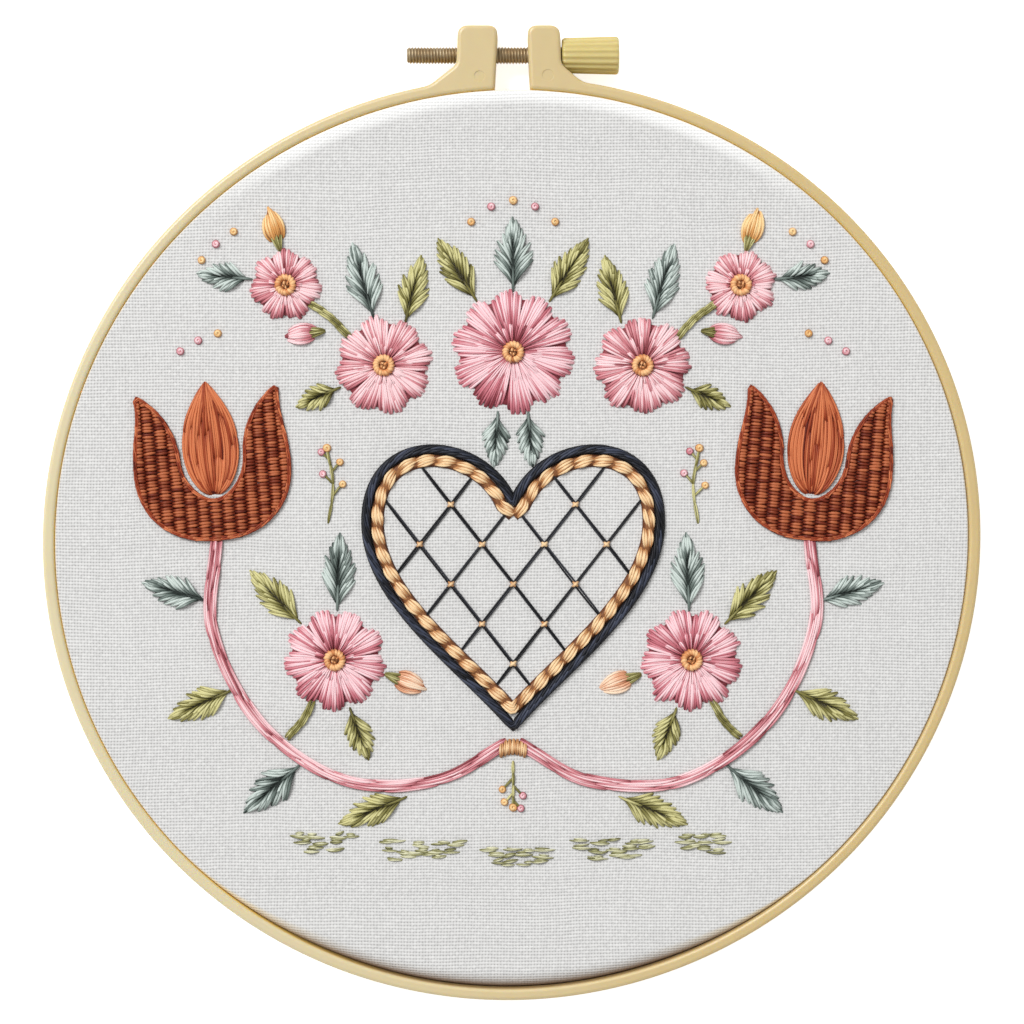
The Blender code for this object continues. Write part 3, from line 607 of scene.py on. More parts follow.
def lugOutline(lug):
    # From the ring's inner side up the split, over the top and down the slope to its outer side.
    side = math.copysign(1, lug["outerTop"])
    points = [onOval(ringIn, lug["splitFoot"] + side * lugShape["inwards"]), onOval(ringIn, lug["splitFoot"]),
              (lug["splitTop"], lugShape["top"]), (lug["outerTop"], lugShape["top"]),
              (lug["outerStep"], lug["stepY"]), onOval(ringOut, lug["slopeX"]),
              onOval(ringOut, lug["slopeX"] + side * lugShape["onRing"])]
    found = []
    for *corner, (radius, steps) in zip(points, points[1:], points[2:], lugShape["corners"]):
        found += roundedCorner(*corner, radius, steps)
    return found


def ringMesh():
    right, left = lugOutline(lugSides["right"]), lugOutline(lugSides["left"])
    outline = [*right, *ovalRun(ringOut, right[-1][0], left[-1][0]), *left[::-1],
               *ovalRun(ringIn, left[0][0], right[0][0])]
    curve = bpy.data.curves.new("outerRingMoulding", "CURVE")
    curve.dimensions = "2D"
    curve.fill_mode = "BOTH"
    edge, halfDepth = outerRing["edge"] * mm, outerRing["depth"] * mm / 2
    curve.extrude = halfDepth - edge
    curve.bevel_depth = edge
    curve.bevel_resolution = outerRing["edgeSteps"]
    curve.offset = -edge
    spline = curve.splines.new("POLY")
    spline.points.add(len(outline) - 1)
    spline.use_cyclic_u = True
    for target, (x, y) in zip(spline.points, outline):
        target.co = (x * mm, y * mm + hoopY, 0, 1)
    helper = hiddenHelper("ringCurve", curve)
    mesh = settledMesh(helper)
    bpy.data.objects.remove(helper, do_unlink=True)
    shape = bmesh.new()
    shape.from_mesh(mesh)
    bmesh.ops.remove_doubles(shape, verts=shape.verts, dist=0.001 * mm)
    bmesh.ops.recalc_face_normals(shape, faces=shape.faces)
    for vertex in shape.verts:
        vertex.co.z += halfDepth
    shape.to_mesh(mesh)
    shape.free()
    return mesh


def alongScrew(rows):
    # (x, radius per angle) rows to places about the screw's axis, x to the right
    angle = fullTurn(len(rows[0][1]))
    places = [np.stack([np.full(len(angle), x), radius * np.cos(angle), radius * np.sin(angle)], axis=-1)
              for x, radius in rows]
    return np.concatenate(places) * mm + (0, screwPlace["y"] * mm + hoopY, screwPlace["z"] * mm)


def screwCutter(name, radius, ends, around):
    rows = [(x, np.full(around, radius)) for x in ends]
    return hiddenHelper(name, meshFromCorners(name, alongScrew(rows), tubeFaces(2, around)))


def markCutter(name, lug):
    angle, top = fullTurn(markShape["around"]), outerRing["depth"]
    rings = ((lug["mark"] * markShape["foot"], top - markShape["depth"]),
             (lug["mark"] * markShape["rim"], top + markShape["above"]))
    places = [np.stack([lug["markX"] + radius * np.cos(angle), lug["markY"] + radius * np.sin(angle),
                        np.full(len(angle), z)], axis=-1) for radius, z in rings]
    return hiddenHelper(name, meshFromCorners(name, np.concatenate(places) * mm + (0, hoopY, 0),
                                              tubeFaces(2, len(angle))))


def markInsideGlow(mesh):
    # How far a point lies down the ring's inner side, where a glow of light through the plastic is painted in
    # amber.
    places = np.empty(len(mesh.vertices) * 3, np.float32)
    mesh.vertices.foreach_get("co", places)
    places = places.reshape(-1, 3)
    flat = unleaned((places[:, :2] - (0, hoopY)) / mm)
    fromCentre = np.hypot(flat[:, 0], flat[:, 1] / oval)
    drop = outerRing["depth"] - insideGlow["below"] - places[:, 2] / mm
    down = np.clip(drop / insideGlow["fadeDown"], 0, 1)
    inwards = np.clip((ringIn + insideGlow["ledge"] - fromCentre) / insideGlow["fadeIn"], 0, 1)
    addPointValues(mesh, "inside", down * inwards)


def makeOuterRing():
    blank = hiddenHelper("ringBlank", ringMesh())
    helpers = [screwCutter("screwBore", screwPlace["bore"], screwPlace["boreEnds"], 48),
               screwCutter("knobRoom", screwPlace["knobRoom"], screwPlace["knobRoomEnds"], 96),
               *[markCutter(f"{side}Mark", lug) for side, lug in lugSides.items()]]
    for helper in helpers:
        step = blank.modifiers.new(helper.name, "BOOLEAN")
        step.operation = "DIFFERENCE"
        step.solver = "EXACT"
        step.object = helper
    flatFaces = blank.modifiers.new("flatFaces", "WEIGHTED_NORMAL")
    flatFaces.keep_sharp = True
    mesh = settledMesh(blank)
    for helper in (blank, *helpers):
        bpy.data.objects.remove(helper, do_unlink=True)
    mesh.materials.clear()
    markInsideGlow(mesh)
    return newPiece("outerRingMoulding", mesh, [creamPlastic], "outer_ring")


ring = makeOuterRing()
print("outer ring:", triangles(ring), "triangles")


clothShape = {"radius": 102.2, "top": 8.8, "thickness": 0.9, "hem": 0.8, "shoulder": 0.4, "lowShoulder": 4.0,
              "lowNear": (-92, 17, 46), "bendSteps": 12, "sideHeights": (4.5, 2.6), "backHeight": 3.0,
              "flatRings": 56, "flatCrowding": 0.9, "steps": 320}
clothSway = {"height": 0.05, "waves": ((9.1, 23.0, 0.4), (-17.0, 8.2, 2.0), (13.0, -11.5, 4.1)),
             "heldFrom": 98, "heldOver": 25}
clothEdgeLight = {"foldShadeFrom": 0.1, "foldShadeOver": 2.4, "bounceFrom": 0.02, "bounceOver": 0.2, "strongest": 0.8,
              "litStripWidth": 3.8, "litStripGain": 1.6, "litStripNear": (91, 24, 48)}
innerRing = {"radius": 100.9, "wall": 3.2, "top": 7.5, "edge": 1.7, "foot": 0.5, "steps": 256}


def clothProfile(shoulder):
    # (radius, height) pairs: out over the upper face, down the ring's side and back underneath.
    radius, top, thickness, hem, rings = (
        clothShape[key] for key in ("radius", "top", "thickness", "hem", "flatRings"))
    bend = (radius - shoulder, top - shoulder)
    flat = [(bend[0] * (k / rings) ** clothShape["flatCrowding"], top) for k in range(1, rings)]
    upper = [*flat, *arcPairs(bend, shoulder, 90, 0, clothShape["bendSteps"]),
             *[(radius, height) for height in (*clothShape["sideHeights"], hem)]]
    lower = [(radius - thickness, hem), (radius - thickness, clothShape["backHeight"]),
             *arcPairs(bend, max(shoulder - thickness, 0.05), 0, 90, clothShape["bendSteps"]),
             *[(r, top - thickness) for r, _ in flat[::-1]]]
    return np.array(upper + lower), len(upper)


def nearAngle(angle, degrees, full, gone):
    # 1 near an angle, falling to 0 further round.
    away = np.abs((np.degrees(angle) - degrees + 180) % 360 - 180)
    share = np.clip((gone - away) / (gone - full), 0, 1)
    return share * share * (3 - 2 * share)


def makeCloth():
    top, steps = clothShape["top"], clothShape["steps"]
    angle = fullTurn(steps)
    # at the bottom it eases over the inner ring, elsewhere it's pulled down sharply
    low = nearAngle(angle, *clothShape["lowNear"])
    shoulders = clothShape["shoulder"] + (clothShape["lowShoulder"] - clothShape["shoulder"]) * low
    profiles = np.stack([clothProfile(shoulder)[0] for shoulder in shoulders], axis=1)
    rows, upperRows = len(profiles), clothProfile(clothShape["shoulder"])[1]
    places = turnedOval(profiles, angle)
    # distance from the middle along the cloth, for a weave that runs on over the bend
    strides = np.linalg.norm(np.diff(profiles, axis=0), axis=-1)
    walk = np.concatenate([profiles[:1, :, 0], profiles[:1, :, 0] + np.cumsum(strides, axis=0)])
    walk[upperRows:] = walk[upperRows - 1] - (walk[upperRows:] - walk[upperRows])
    cut = np.stack([walk * np.cos(angle), walk * np.sin(angle) * oval], axis=-1)
    # it isn't quite flat: long shallow waves, gone where the hoop holds it
    x, y = places[..., 0], places[..., 1]
    fromCentre = np.hypot(x, y / oval)
    wave = sum(np.sin(x / a + y / b + c) for a, b, c in clothSway["waves"])
    loose = np.clip((clothSway["heldFrom"] - fromCentre) / clothSway["heldOver"], 0, 1)
    places[..., 2] += clothSway["height"] * wave * loose
    # painted light by the ring: shade on the bottom bend, amber reflection elsewhere, lit strip at the top
    drop = top - profiles[..., 1]
    foldShaded = np.clip((drop - clothEdgeLight["foldShadeFrom"]) / clothEdgeLight["foldShadeOver"], 0, 1)
    bounced = np.clip((drop - clothEdgeLight["bounceFrom"]) / clothEdgeLight["bounceOver"], 0, 1)
    litStrip = 1 - (clothShape["radius"] - fromCentre) / clothEdgeLight["litStripWidth"]
    edgeLight = {"fold": foldShaded * clothEdgeLight["strongest"] * low,
             "warm": bounced * clothEdgeLight["strongest"] * (1 - low),
             "litStrip": (np.clip(litStrip * clothEdgeLight["litStripGain"], 0, 1)
                        * nearAngle(angle, *clothEdgeLight["litStripNear"]))}
    for mark in edgeLight.values():
        mark[upperRows:] = 0
    # the middle is closed with one fan above and one below
    middle = np.array([[0, 0, top], [0, 0, top - clothShape["thickness"]]])
    count, lastRow = rows * steps, (rows - 1) * steps
    column = np.arange(steps)
    after = (column + 1) % steps
    faces = [gridFaces(rows, steps)[:, ::-1], np.stack([np.full(steps, count), column, after], axis=-1),
             np.stack([np.full(steps, count + 1), lastRow + after, lastRow + column], axis=-1)]
    places = np.concatenate([places.reshape(-1, 3), middle])
    places[:, :2] = leaned(places[:, :2])
    cutPlaces = np.concatenate([cut.reshape(-1, 2), [[0, 0], [0, 0]]]) * mm
    mesh = meshFromCorners("linenCloth", places * mm + (0, hoopY, 0), faces, "cut",
                           np.concatenate([cutPlaces[face.ravel()] for face in faces]),
                           {name: np.append(mark.ravel(), [0, 0]) for name, mark in edgeLight.items()})
    cutRadius = float(walk[upperRows - 1].mean()) * lean["grow"] * mm
    return newPiece("linenCloth", mesh, [offWhiteLinen], "cloth"), cutRadius


def makeInnerRing():
    radius, edge, foot, top, steps = (innerRing[key] for key in ("radius", "edge", "foot", "top", "steps"))
    inside = radius - innerRing["wall"]
    profile = np.array([*arcPairs((radius - edge, top - edge), edge, 90, 0, 8),
                        *arcPairs((radius - foot, foot), foot, 0, -90, 5),
                        *arcPairs((inside + foot, foot), foot, 270, 180, 5),
                        *arcPairs((inside + edge, top - edge), edge, 180, 90, 8)])
    places = turnedOval(np.repeat(profile[:, None, :], steps, axis=1), fullTurn(steps))
    places[..., :2] = leaned(places[..., :2])
    places = places.reshape(-1, 3) * mm + (0, hoopY, 0)
    faces = gridFaces(len(profile) + 1, steps) % (len(profile) * steps)
    mesh = meshFromCorners("innerRingMoulding", places, [faces[:, ::-1]])
    newPiece("innerRingMoulding", mesh, [creamPlastic], "inner_ring")


cloth, cutRadius = makeCloth()
makeInnerRing()
print("cloth cut radius:", round(cutRadius / mm, 2), "mm,", triangles(cloth), "triangles")


rodShape = {"start": -23.9, "end": 19.0, "radius": 1.87, "root": 1.6, "pitch": 0.7, "crest": (1.9, 2.6),
            "tip": 1.5, "tipSlope": 0.75, "around": 36, "perTurn": 10, "sharpest": 55}
knobShape = {"start": 10.95, "end": 23.8, "radius": 4.3, "taper": 0.3, "edge": 0.75, "edgeSteps": 5,
             "flutes": 18, "flute": 0.24, "fluteSoftness": 0.6, "perFlute": 12, "socket": 8.25, "bevel": 0.3,
             "flat": 0.6, "dimple": (2.5, 2.2, 0.18), "middle": 0.2, "sharpest": 50}


def makeRod():
    start, end, root, pitch, around = (rodShape[key] for key in ("start", "end", "root", "pitch", "around"))
    full, slope = rodShape["crest"]
    angle = np.arange(around) / around
    count = int((end - start) / pitch * rodShape["perTurn"])
    rows, roots = [], []
    for x in np.linspace(start, end, count + 1):
        turn = (x / pitch - angle) % 1.0
        crest = np.clip(full - slope * np.abs(2 * turn - 1), 0, 1)          # 0 in the root, 1 on the crest
        pointed = rodShape["tip"] + max(min(x - start, end - x), 0) * rodShape["tipSlope"]
        rows.append((x, np.minimum(root + (rodShape["radius"] - root) * crest, pointed)))
        roots.append(1 - crest)
    mesh = meshFromCorners("threadedRod", alongScrew(rows), tubeFaces(len(rows), around),
                           values={"root": np.concatenate(roots)})
    mesh.set_sharp_from_angle(angle=math.radians(rodShape["sharpest"]))
    return newPiece("threadedRod", mesh, [passivatedSteel], "screw_rod", "thumbscrew")


def makeKnob():
    start, end, radius, edge, middle = (knobShape[key] for key in ("start", "end", "radius", "edge", "middle"))
    around = knobShape["flutes"] * knobShape["perFlute"]
    phase = np.cos(2 * np.pi * np.arange(around) * knobShape["flutes"] / around)
    groove = knobShape["flute"] * (0.5 - 0.5 * np.sign(phase) * np.abs(phase) ** knobShape["fluteSoftness"])
    hole, socketEnd = screwPlace["bore"], start + knobShape["socket"]
    slim = radius - knobShape["taper"]              # its moulding draws in towards the hoop
    rimOut, rimIn, dimple = knobShape["dimple"]
    bevel, flat = knobShape["bevel"], np.ones(around)
    rows = [(socketEnd, flat * middle), (socketEnd, flat * hole), (start + bevel, flat * hole),
            (start, flat * (hole + bevel)), (start, flat * (slim - edge - knobShape["flat"]))]
    for x, reach in arcPairs((start + edge, slim - edge), edge, 180, 90, knobShape["edgeSteps"]):
        rows.append((x, reach - groove * (reach - slim + edge) / edge))
    for share in np.linspace(0.05, 0.95, 4):
        rows.append((start + edge + (end - start - 2 * edge) * share, slim + (radius - slim) * share - groove))
    for x, reach in arcPairs((end - edge, radius - edge), edge, 90, 0, knobShape["edgeSteps"]):
        rows.append((x, reach - groove * (reach - radius + edge) / edge))
    rows += [(end, flat * rimOut), (end - dimple, flat * rimIn), (end - dimple, flat * middle)]
    mesh = meshFromCorners("flutedKnob", alongScrew(rows), tubeFaces(len(rows), around))
    mesh.set_sharp_from_angle(angle=math.radians(knobShape["sharpest"]))
    return newPiece("flutedKnob", mesh, [knobPlastic], "screw_knob", "thumbscrew")


rod = makeRod()
knob = makeKnob()
print("screw:", triangles(rod), "and", triangles(knob), "triangles")


def walkedAlong(line):
    return np.concatenate([[0], np.cumsum(np.linalg.norm(np.diff(line, axis=0), axis=1))])


def pointsAt(line, walked, where):
    return np.stack([np.interp(where, walked, line[:, 0]), np.interp(where, walked, line[:, 1])], axis=-1)


def alongLine(line, shares):
    line = np.asarray(line, float)
    walked = walkedAlong(line)
    return pointsAt(line, walked, np.asarray(shares, float) * walked[-1])


def lineLength(line):
    return float(walkedAlong(line)[-1])


def closedLine(outline):
    return np.vstack([outline, outline[0]])


def closedPart(outline, start, length, count=14):
    # A stretch of a closed line, from start millimetres on.
    loop = np.vstack([outline, closedLine(outline)])
    return pointsAt(loop, walkedAlong(loop), start + np.linspace(0, length, count))


def unitRuns(runs):
    return runs / np.maximum(np.linalg.norm(runs, axis=1)[:, None], 1e-9)


def sidesOf(line):
    run = unitRuns(np.gradient(line, axis=0))
    return np.stack([-run[:, 1], run[:, 0]], axis=1)


def bezierLine(span, count):
    t = np.linspace(0, 1, count)[:, None]
    a, b, c, d = np.array(span, float)
    return a * (1 - t) ** 3 + 3 * b * (1 - t) ** 2 * t + 3 * c * (1 - t) * t ** 2 + d * t ** 3


def bezierRun(spans, count):
    # Curves end to end, without doubling the points where they meet.
    lines = [bezierLine(span, count) for span in spans]
    return np.vstack([*[line[:-1] for line in lines[:-1]], lines[-1]])


def smoothLine(knots, steps):
    knots = np.array(knots, float)
    knots = np.vstack([2 * knots[0] - knots[1], knots, 2 * knots[-1] - knots[-2]])
    found = []
    for a, b, c, d in zip(knots, knots[1:], knots[2:], knots[3:]):
        for t in np.arange(steps) / steps:
            found.append(0.5 * (2 * b + (c - a) * t + (2 * a - 5 * b + 4 * c - d) * t ** 2
                                + (3 * b - a - 3 * c + d) * t ** 3))
    return np.array([*found, knots[-2]])


def mirroredOutline(half):
    return np.vstack([half, half[-2:0:-1] * (-1, 1)])


def signedArea(outline):
    after = np.roll(outline, -1, axis=0)
    return np.sum(outline[:, 0] * after[:, 1] - after[:, 0] * outline[:, 1])


def distanceTo(points, outline):
    edge = np.roll(outline, -1, axis=0) - outline
    t = ((points[:, None, :] - outline) * edge).sum(-1) / np.maximum((edge ** 2).sum(-1), 1e-12)
    nearest = outline + edge * np.clip(t, 0, 1)[..., None]
    return np.linalg.norm(points[:, None, :] - nearest, axis=-1).min(axis=1)


def insetLine(outline, distance):
    # Inwards, whichever way round the outline runs.
    if signedArea(outline) > 0:
        outline = outline[::-1]
    run = np.roll(outline, -1, axis=0) - np.roll(outline, 1, axis=0)
    run /= np.linalg.norm(run, axis=1)[:, None]
    moved = outline + np.stack([run[:, 1], -run[:, 0]], axis=1) * distance
    return moved[distanceTo(moved, outline) > 0.98 * distance]


def crossingsOf(start, along, outline):
    # How far along a straight line it crosses the outline.
    edge = np.roll(outline, -1, axis=0) - outline
    det = along[0] * edge[:, 1] - along[1] * edge[:, 0]
    away = outline - start
    with np.errstate(divide="ignore", invalid="ignore"):
        onEdge = (away[:, 0] * along[1] - away[:, 1] * along[0]) / det
        onLine = (away[:, 0] * edge[:, 1] - away[:, 1] * edge[:, 0]) / det
    return np.sort(onLine[(onEdge >= 0) & (onEdge < 1) & (np.abs(det) > 1e-9)])


def meetingPoint(a, b, c, d):
    # Where the line from a to b crosses the line from c to d, away from their ends.
    first, second, away = b - a, d - c, c - a
    det = first[0] * second[1] - first[1] * second[0]
    if abs(det) < 1e-9:
        return None
    s = (away[0] * second[1] - away[1] * second[0]) / det
    t = (away[0] * first[1] - away[1] * first[0]) / det
    return a + first * s if 0.02 < s < 0.98 and 0.02 < t < 0.98 else None


def headedTo(degrees):
    return np.array([math.cos(math.radians(degrees)), math.sin(math.radians(degrees))])


def onCircle(angle, radius):
    return np.array([math.cos(angle) * radius, math.sin(angle) * radius])


def roundOutline(radius, corners, centre):
    angles = np.linspace(0, 2 * math.pi, corners, endpoint=False)
    return np.array([onCircle(angle, radius) for angle in angles]) + centre


def placed(points, x, y, degrees):
    turn = math.radians(degrees)
    c, s = math.cos(turn), math.sin(turn)
    points = np.asarray(points, float)
    return np.stack([x + points[..., 0] * c - points[..., 1] * s,
                     y + points[..., 0] * s + points[..., 1] * c], axis=-1)


def flipped(points, side):
    return np.asarray(points, float) * (side, 1)


def flippedPlace(x, y, degrees, side):
    return side * x, y, degrees if side > 0 else 180 - degrees


bothSides = (("right", 1), ("left", -1))


def sidesFor(x):
    # A motif beside the middle line is sewn on both sides of it.
    return bothSides if x else (("", 1),)


def withWord(name, word):
    return f"{name}_{word}" if word else name


plyShape = {"around": 6, "fullness": 1.14, "foot": 0.55, "wobble": 0.6, "riseSpread": 0.035,
            "toneSpread": 0.05}
bedShape = {"around": 6, "sunk": 0.2, "spacing": 1.6}
padRows = ((0.0, 0.0, -0.1), (0.25, 0.6, 0.0), (1.0, 1.0, 0.0))     # share of the lip, of the height, added
backThread = {"longest": 15.0, "shortest": 0.5, "steps": 6, "around": 5, "flat": 0.6, "bow": 0.12,
              "inCloth": 0.12, "hang": 0.42, "hangSpread": 0.25, "thick": 0.4, "widest": 1.3, "foot": 0.6,
              "tones": (0.3, 0.6)}
paintedStrandLight = {"light": 0.31, "even": 0.35}     # painted highlight on top, painted shade down its sides
strandShift = 0.0437                            # no two strands have the same fibres


def newWork(toneSpread, steps=10, split=0.09):
    return {"strands": [], "pads": [], "holes": [], "toneSpread": toneSpread, "steps": steps, "split": split}


def humpOf(t, ease):
    return 1 - np.abs(2 * t - 1) ** ease


def layStitch(work, line, width, top, shade, plies=2, ease=4.0, gather=0.45, droop=-0.12, swell=(1, 1, 1),
              slot=0, sway=0.03, flat=0.85, counts=True):
    # One stitch: up out of the cloth, over and down again, as plies side by side.
    t = 0.5 - 0.5 * np.cos(np.pi * np.linspace(0, 1, work["steps"] + 1))
    middle = alongLine(line, t)
    side = sidesOf(middle)
    hump = humpOf(t, ease)
    full = np.interp(t, np.linspace(0, 1, len(swell)), swell)
    tones = np.interp(t, np.linspace(0, 1, len(shade)), shade)
    tone = rng.normal(0, work["toneSpread"])
    litPly = rng.integers(plies)                     # painted light: one ply paler, the others darker, as if it lay higher
    foot = plyShape["foot"]
    for ply in range(plies):
        lane = (ply - (plies - 1) / 2) * width / plies * (gather + (1 - gather) * hump) * full
        lane = lane + sway * rng.normal() * np.sin(np.pi * t)
        lane = lane + sway * plyShape["wobble"] * rng.normal() * np.sin(2 * np.pi * t)
        rise = droop + (top - droop) * hump * (1 + rng.normal(0, plyShape["riseSpread"]))
        half = width / plies / 2 * plyShape["fullness"] * (foot + (1 - foot) * hump) * full
        plyLight = (work["split"] if ply == litPly else -work["split"]) * (plies > 1)
        plyLight += rng.normal(0, plyShape["toneSpread"])
        work["strands"].append({"path": np.column_stack([middle + side * lane[:, None], rise]), "half": half,
                                "flat": flat, "shade": tones + tone + plyLight, "slot": slot,
                                "around": plyShape["around"]})
    if counts:
        work["holes"].append((middle[0], middle[-1], slot, width))


# A raised pad in a dark tone under a motif: painted shade for the gaps between its stitches.
def layShadePad(work, outline, height, lip=0.5, shade=0.0, slot=0):
    work["pads"].append({"outline": np.asarray(outline, float), "height": height, "lip": lip,
                         "shade": shade, "slot": slot})


def layShadeBed(work, line, half, height):
    # A low dark ridge under the stitches: painted shade in the gaps between them, where no cloth shows.
    line = np.asarray(line, float)
    work["strands"].append({"path": np.column_stack([line, np.full(len(line), height * bedShape["sunk"])]),
                            "half": np.full(len(line), half), "flat": height / half,
                            "shade": np.zeros(len(line)), "slot": 0, "around": bedShape["around"]})


def layShadeRidge(work, outline, half, height):
    closed = closedLine(outline)
    count = int(lineLength(closed) / bedShape["spacing"])
    layShadeBed(work, alongLine(closed, np.arange(count + 1) / count), half, height)


def backStitches(work):
    # Behind the cloth the thread travels from the end of one stitch to the start of the next.
    look = backThread
    t = np.linspace(0, 1, look["steps"])
    hump = humpOf(t, 4)
    for (_, end, slot, width), (start, _, nextSlot, _) in zip(work["holes"], work["holes"][1:]):
        span = float(np.hypot(*(start - end)))
        if slot != nextSlot or span < look["shortest"] or span > look["longest"]:
            continue
        middle = end + (start - end) * t[:, None]
        middle = middle + sidesOf(middle) * (rng.normal(0, look["bow"]) * np.sin(np.pi * t))[:, None]
        hang = (look["hang"] + rng.uniform(0, look["hangSpread"])) * hump
        rise = look["inCloth"] - clothShape["thickness"] - hang
        half = look["thick"] * min(width, look["widest"]) * (look["foot"] + (1 - look["foot"]) * hump)
        work["strands"].append({"path": np.column_stack([middle, rise]), "half": half, "flat": look["flat"],
                                "shade": np.full(len(t), rng.uniform(*look["tones"])), "slot": slot,
                                "around": look["around"]})


def strandParts(strand, number):
    path, half, around = strand["path"], strand["half"], strand["around"]
    run = unitRuns(np.gradient(path, axis=0))
    side = unitRuns(np.stack([-run[:, 1], run[:, 0], np.zeros(len(run))], axis=1))
    up = np.cross(run, side)
    angle = fullTurn(around)
    places = (path[:, None, :] + side[:, None, :] * (half[:, None] * np.cos(angle))[..., None]
              + up[:, None, :] * (half[:, None] * strand["flat"] * np.sin(angle))[..., None])
    quads, ends = tubeFaces(len(path), around)
    walked = walkedAlong(path) * mm + number * strandShift
    row, column = np.divmod(quads, around)
    u = column / around
    u[:, 1:3] = (column[:, 0:1] + 1) / around
    uvs = np.stack([u, walked[row]], axis=-1)
    endUvs = np.stack([np.broadcast_to(np.arange(around) / around, ends.shape),
                       walked[ends // around]], axis=-1)
    # painted light round each strand: paler on top, darker down its sides
    rounded = paintedStrandLight["light"] * (np.sin(angle) - paintedStrandLight["even"])
    shade = np.clip(strand["shade"][:, None] + rounded, 0, 1).ravel()
    return places.reshape(-1, 3), quads, ends, uvs, endUvs, shade


def padParts(pad):
    outline, area = pad["outline"], signedArea(pad["outline"])
    loop = np.vstack([outline[-1], closedLine(outline)])
    run = unitRuns(loop[2:] - loop[:-2])
    inward = np.stack([-run[:, 1], run[:, 0]], axis=1) * (1 if area > 0 else -1)
    count = len(outline)
    rows = [np.column_stack([outline + inward * pad["lip"] * share,
                             np.full(count, pad["height"] * heightShare + added)])
            for share, heightShare, added in padRows]
    quads = gridFaces(len(rows), count)
    cap = (len(rows) - 1) * count + np.arange(count)[None, :]
    if area < 0:
        quads, cap = quads[:, ::-1], cap[:, ::-1]
    return np.concatenate(rows), quads, cap


def sewPiece(work, name, threads, node=None):
    backStitches(work)
    places, shades, start = [], [], 0
    faces = {}                      # corners per face -> its indices, uvs and slots

    def keep(indices, uvs, slot):
        found = faces.setdefault(indices.shape[1], {"indices": [], "uvs": [], "slots": []})
        found["indices"].append(indices + start)
        found["uvs"].append(uvs.reshape(-1, 2))
        found["slots"].append(np.full(len(indices), slot))

    for number, strand in enumerate(work["strands"]):
        points, quads, ends, uvs, endUvs, shade = strandParts(strand, number)
        keep(quads, uvs, strand["slot"])
        keep(ends, endUvs, strand["slot"])
        places.append(points)
        shades.append(shade)
        start += len(points)
    for pad in work["pads"]:
        points, quads, cap = padParts(pad)
        for indices in (quads, cap):
            keep(indices, points[indices.ravel(), :2] * mm * 3, pad["slot"])
        places.append(points)
        shades.append(np.full(len(points), pad["shade"]))
        start += len(points)
    indices, uvs, slots = ([np.concatenate(faces[corners][part]) for corners in sorted(faces)]
                           for part in ("indices", "uvs", "slots"))
    mesh = meshFromCorners(name, np.concatenate(places) * mm + (0, hoopY, clothTop), indices, "thread",
                           np.concatenate(uvs), {"shade": np.concatenate(shades)}, np.concatenate(slots))
    newPiece(name, mesh, [floss[thread] for thread in threads], node)


def sewRope(work, outline, step, length, offset, width, top, shade, slot=0):
    # Stem stitches round a closed line, each crossing it from the inner to the outer side.
    around = lineLength(closedLine(outline))
    count = round(around / step)
    for i in range(count):
        part = closedPart(outline, i * around / count, length)
        across = np.linspace(-offset, offset, len(part))[:, None]
        layStitch(work, part + sidesOf(part) * across, width * rng.uniform(0.92, 1.08), top, shade,
                  ease=2.6, slot=slot, sway=0.02)


heart = {
    "lobe": ((0, 8), (6, 24), (33, 26), (33, 4)), "flank": ((33, 4), (33, -14), (12, -28), (0, -42)),
    "corners": 90,
    "rope": {"step": 2.15, "length": 7.4, "offset": 0.74, "width": 1.15, "top": 1.15,
             "shade": (0.25, 0.6, 0.5, 0.25)},
    "ropeBed": {"half": 1.1, "height": 0.45}, "chainBed": {"half": 1.5, "height": 0.3},
    "chainInset": 2.5, "linkPitch": 4.5, "linkLean": 0.42, "barLength": 4.7, "barWidth": 1.15,
    "bars": ((-0.72, 0.0), (0.0, 0.35), (0.72, 0.1)), "barBelly": 0.25,
    "bar": {"top": 0.78, "shade": (0.1, 0.6, 0.92, 0.7, 0.2), "ease": 2.4, "swell": (0.7, 1.05, 0.8)},
    "latticeInset": 2.9, "latticePitch": 11.0, "latticeAngle": 52.0, "latticeCentre": (0.0, -10.0),
    "latticeReach": 4, "latticeTops": (0.32, 0.6), "shortest": 1.5,
    "laid": {"width": 0.74, "shade": (0.35, 0.5, 0.4), "ease": 14.0, "sway": 0.08, "flat": 0.9},
    "crossAngles": (38, 142), "crossReach": 0.95,
    "cross": {"width": 0.62, "top": 1.05, "shade": (0.4, 0.75, 0.4), "plies": 1, "ease": 2.2, "slot": 1},
}


def sewHeart():
    outline = mirroredOutline(bezierRun((heart["lobe"], heart["flank"]), heart["corners"]))
    rope = newWork(0.14)
    sewRope(rope, outline, **heart["rope"])
    layShadeRidge(rope, outline, **heart["ropeBed"])
    sewPiece(rope, "heartRope", ["navy"], "heart_rope")

    inner = insetLine(outline, heart["chainInset"])
    chain = newWork(0.08, split=0.13)
    around = lineLength(closedLine(inner))
    links = round(around / heart["linkPitch"])
    belly = heart["barBelly"]
    for i in range(links):
        # three slanting bars a link, each link tucked over the end of the one before
        slope = rng.normal(heart["linkLean"], 0.07)
        for lane, early in heart["bars"]:
            length = heart["barLength"] * rng.uniform(0.92, 1.06)
            part = closedPart(inner, (i + rng.normal(0, 0.03)) * around / links + early, length, 12)
            rounded = 1 - belly + belly * np.sin(np.linspace(0, np.pi, len(part)))
            slant = np.linspace(-slope, slope, len(part)) + lane * rounded
            layStitch(chain, part + sidesOf(part) * slant[:, None],
                      heart["barWidth"] * rng.uniform(0.9, 1.1), **heart["bar"])
    layShadeRidge(chain, inner, **heart["chainBed"])
    sewPiece(chain, "heartChain", ["tan"], "heart_chain")
    return outline


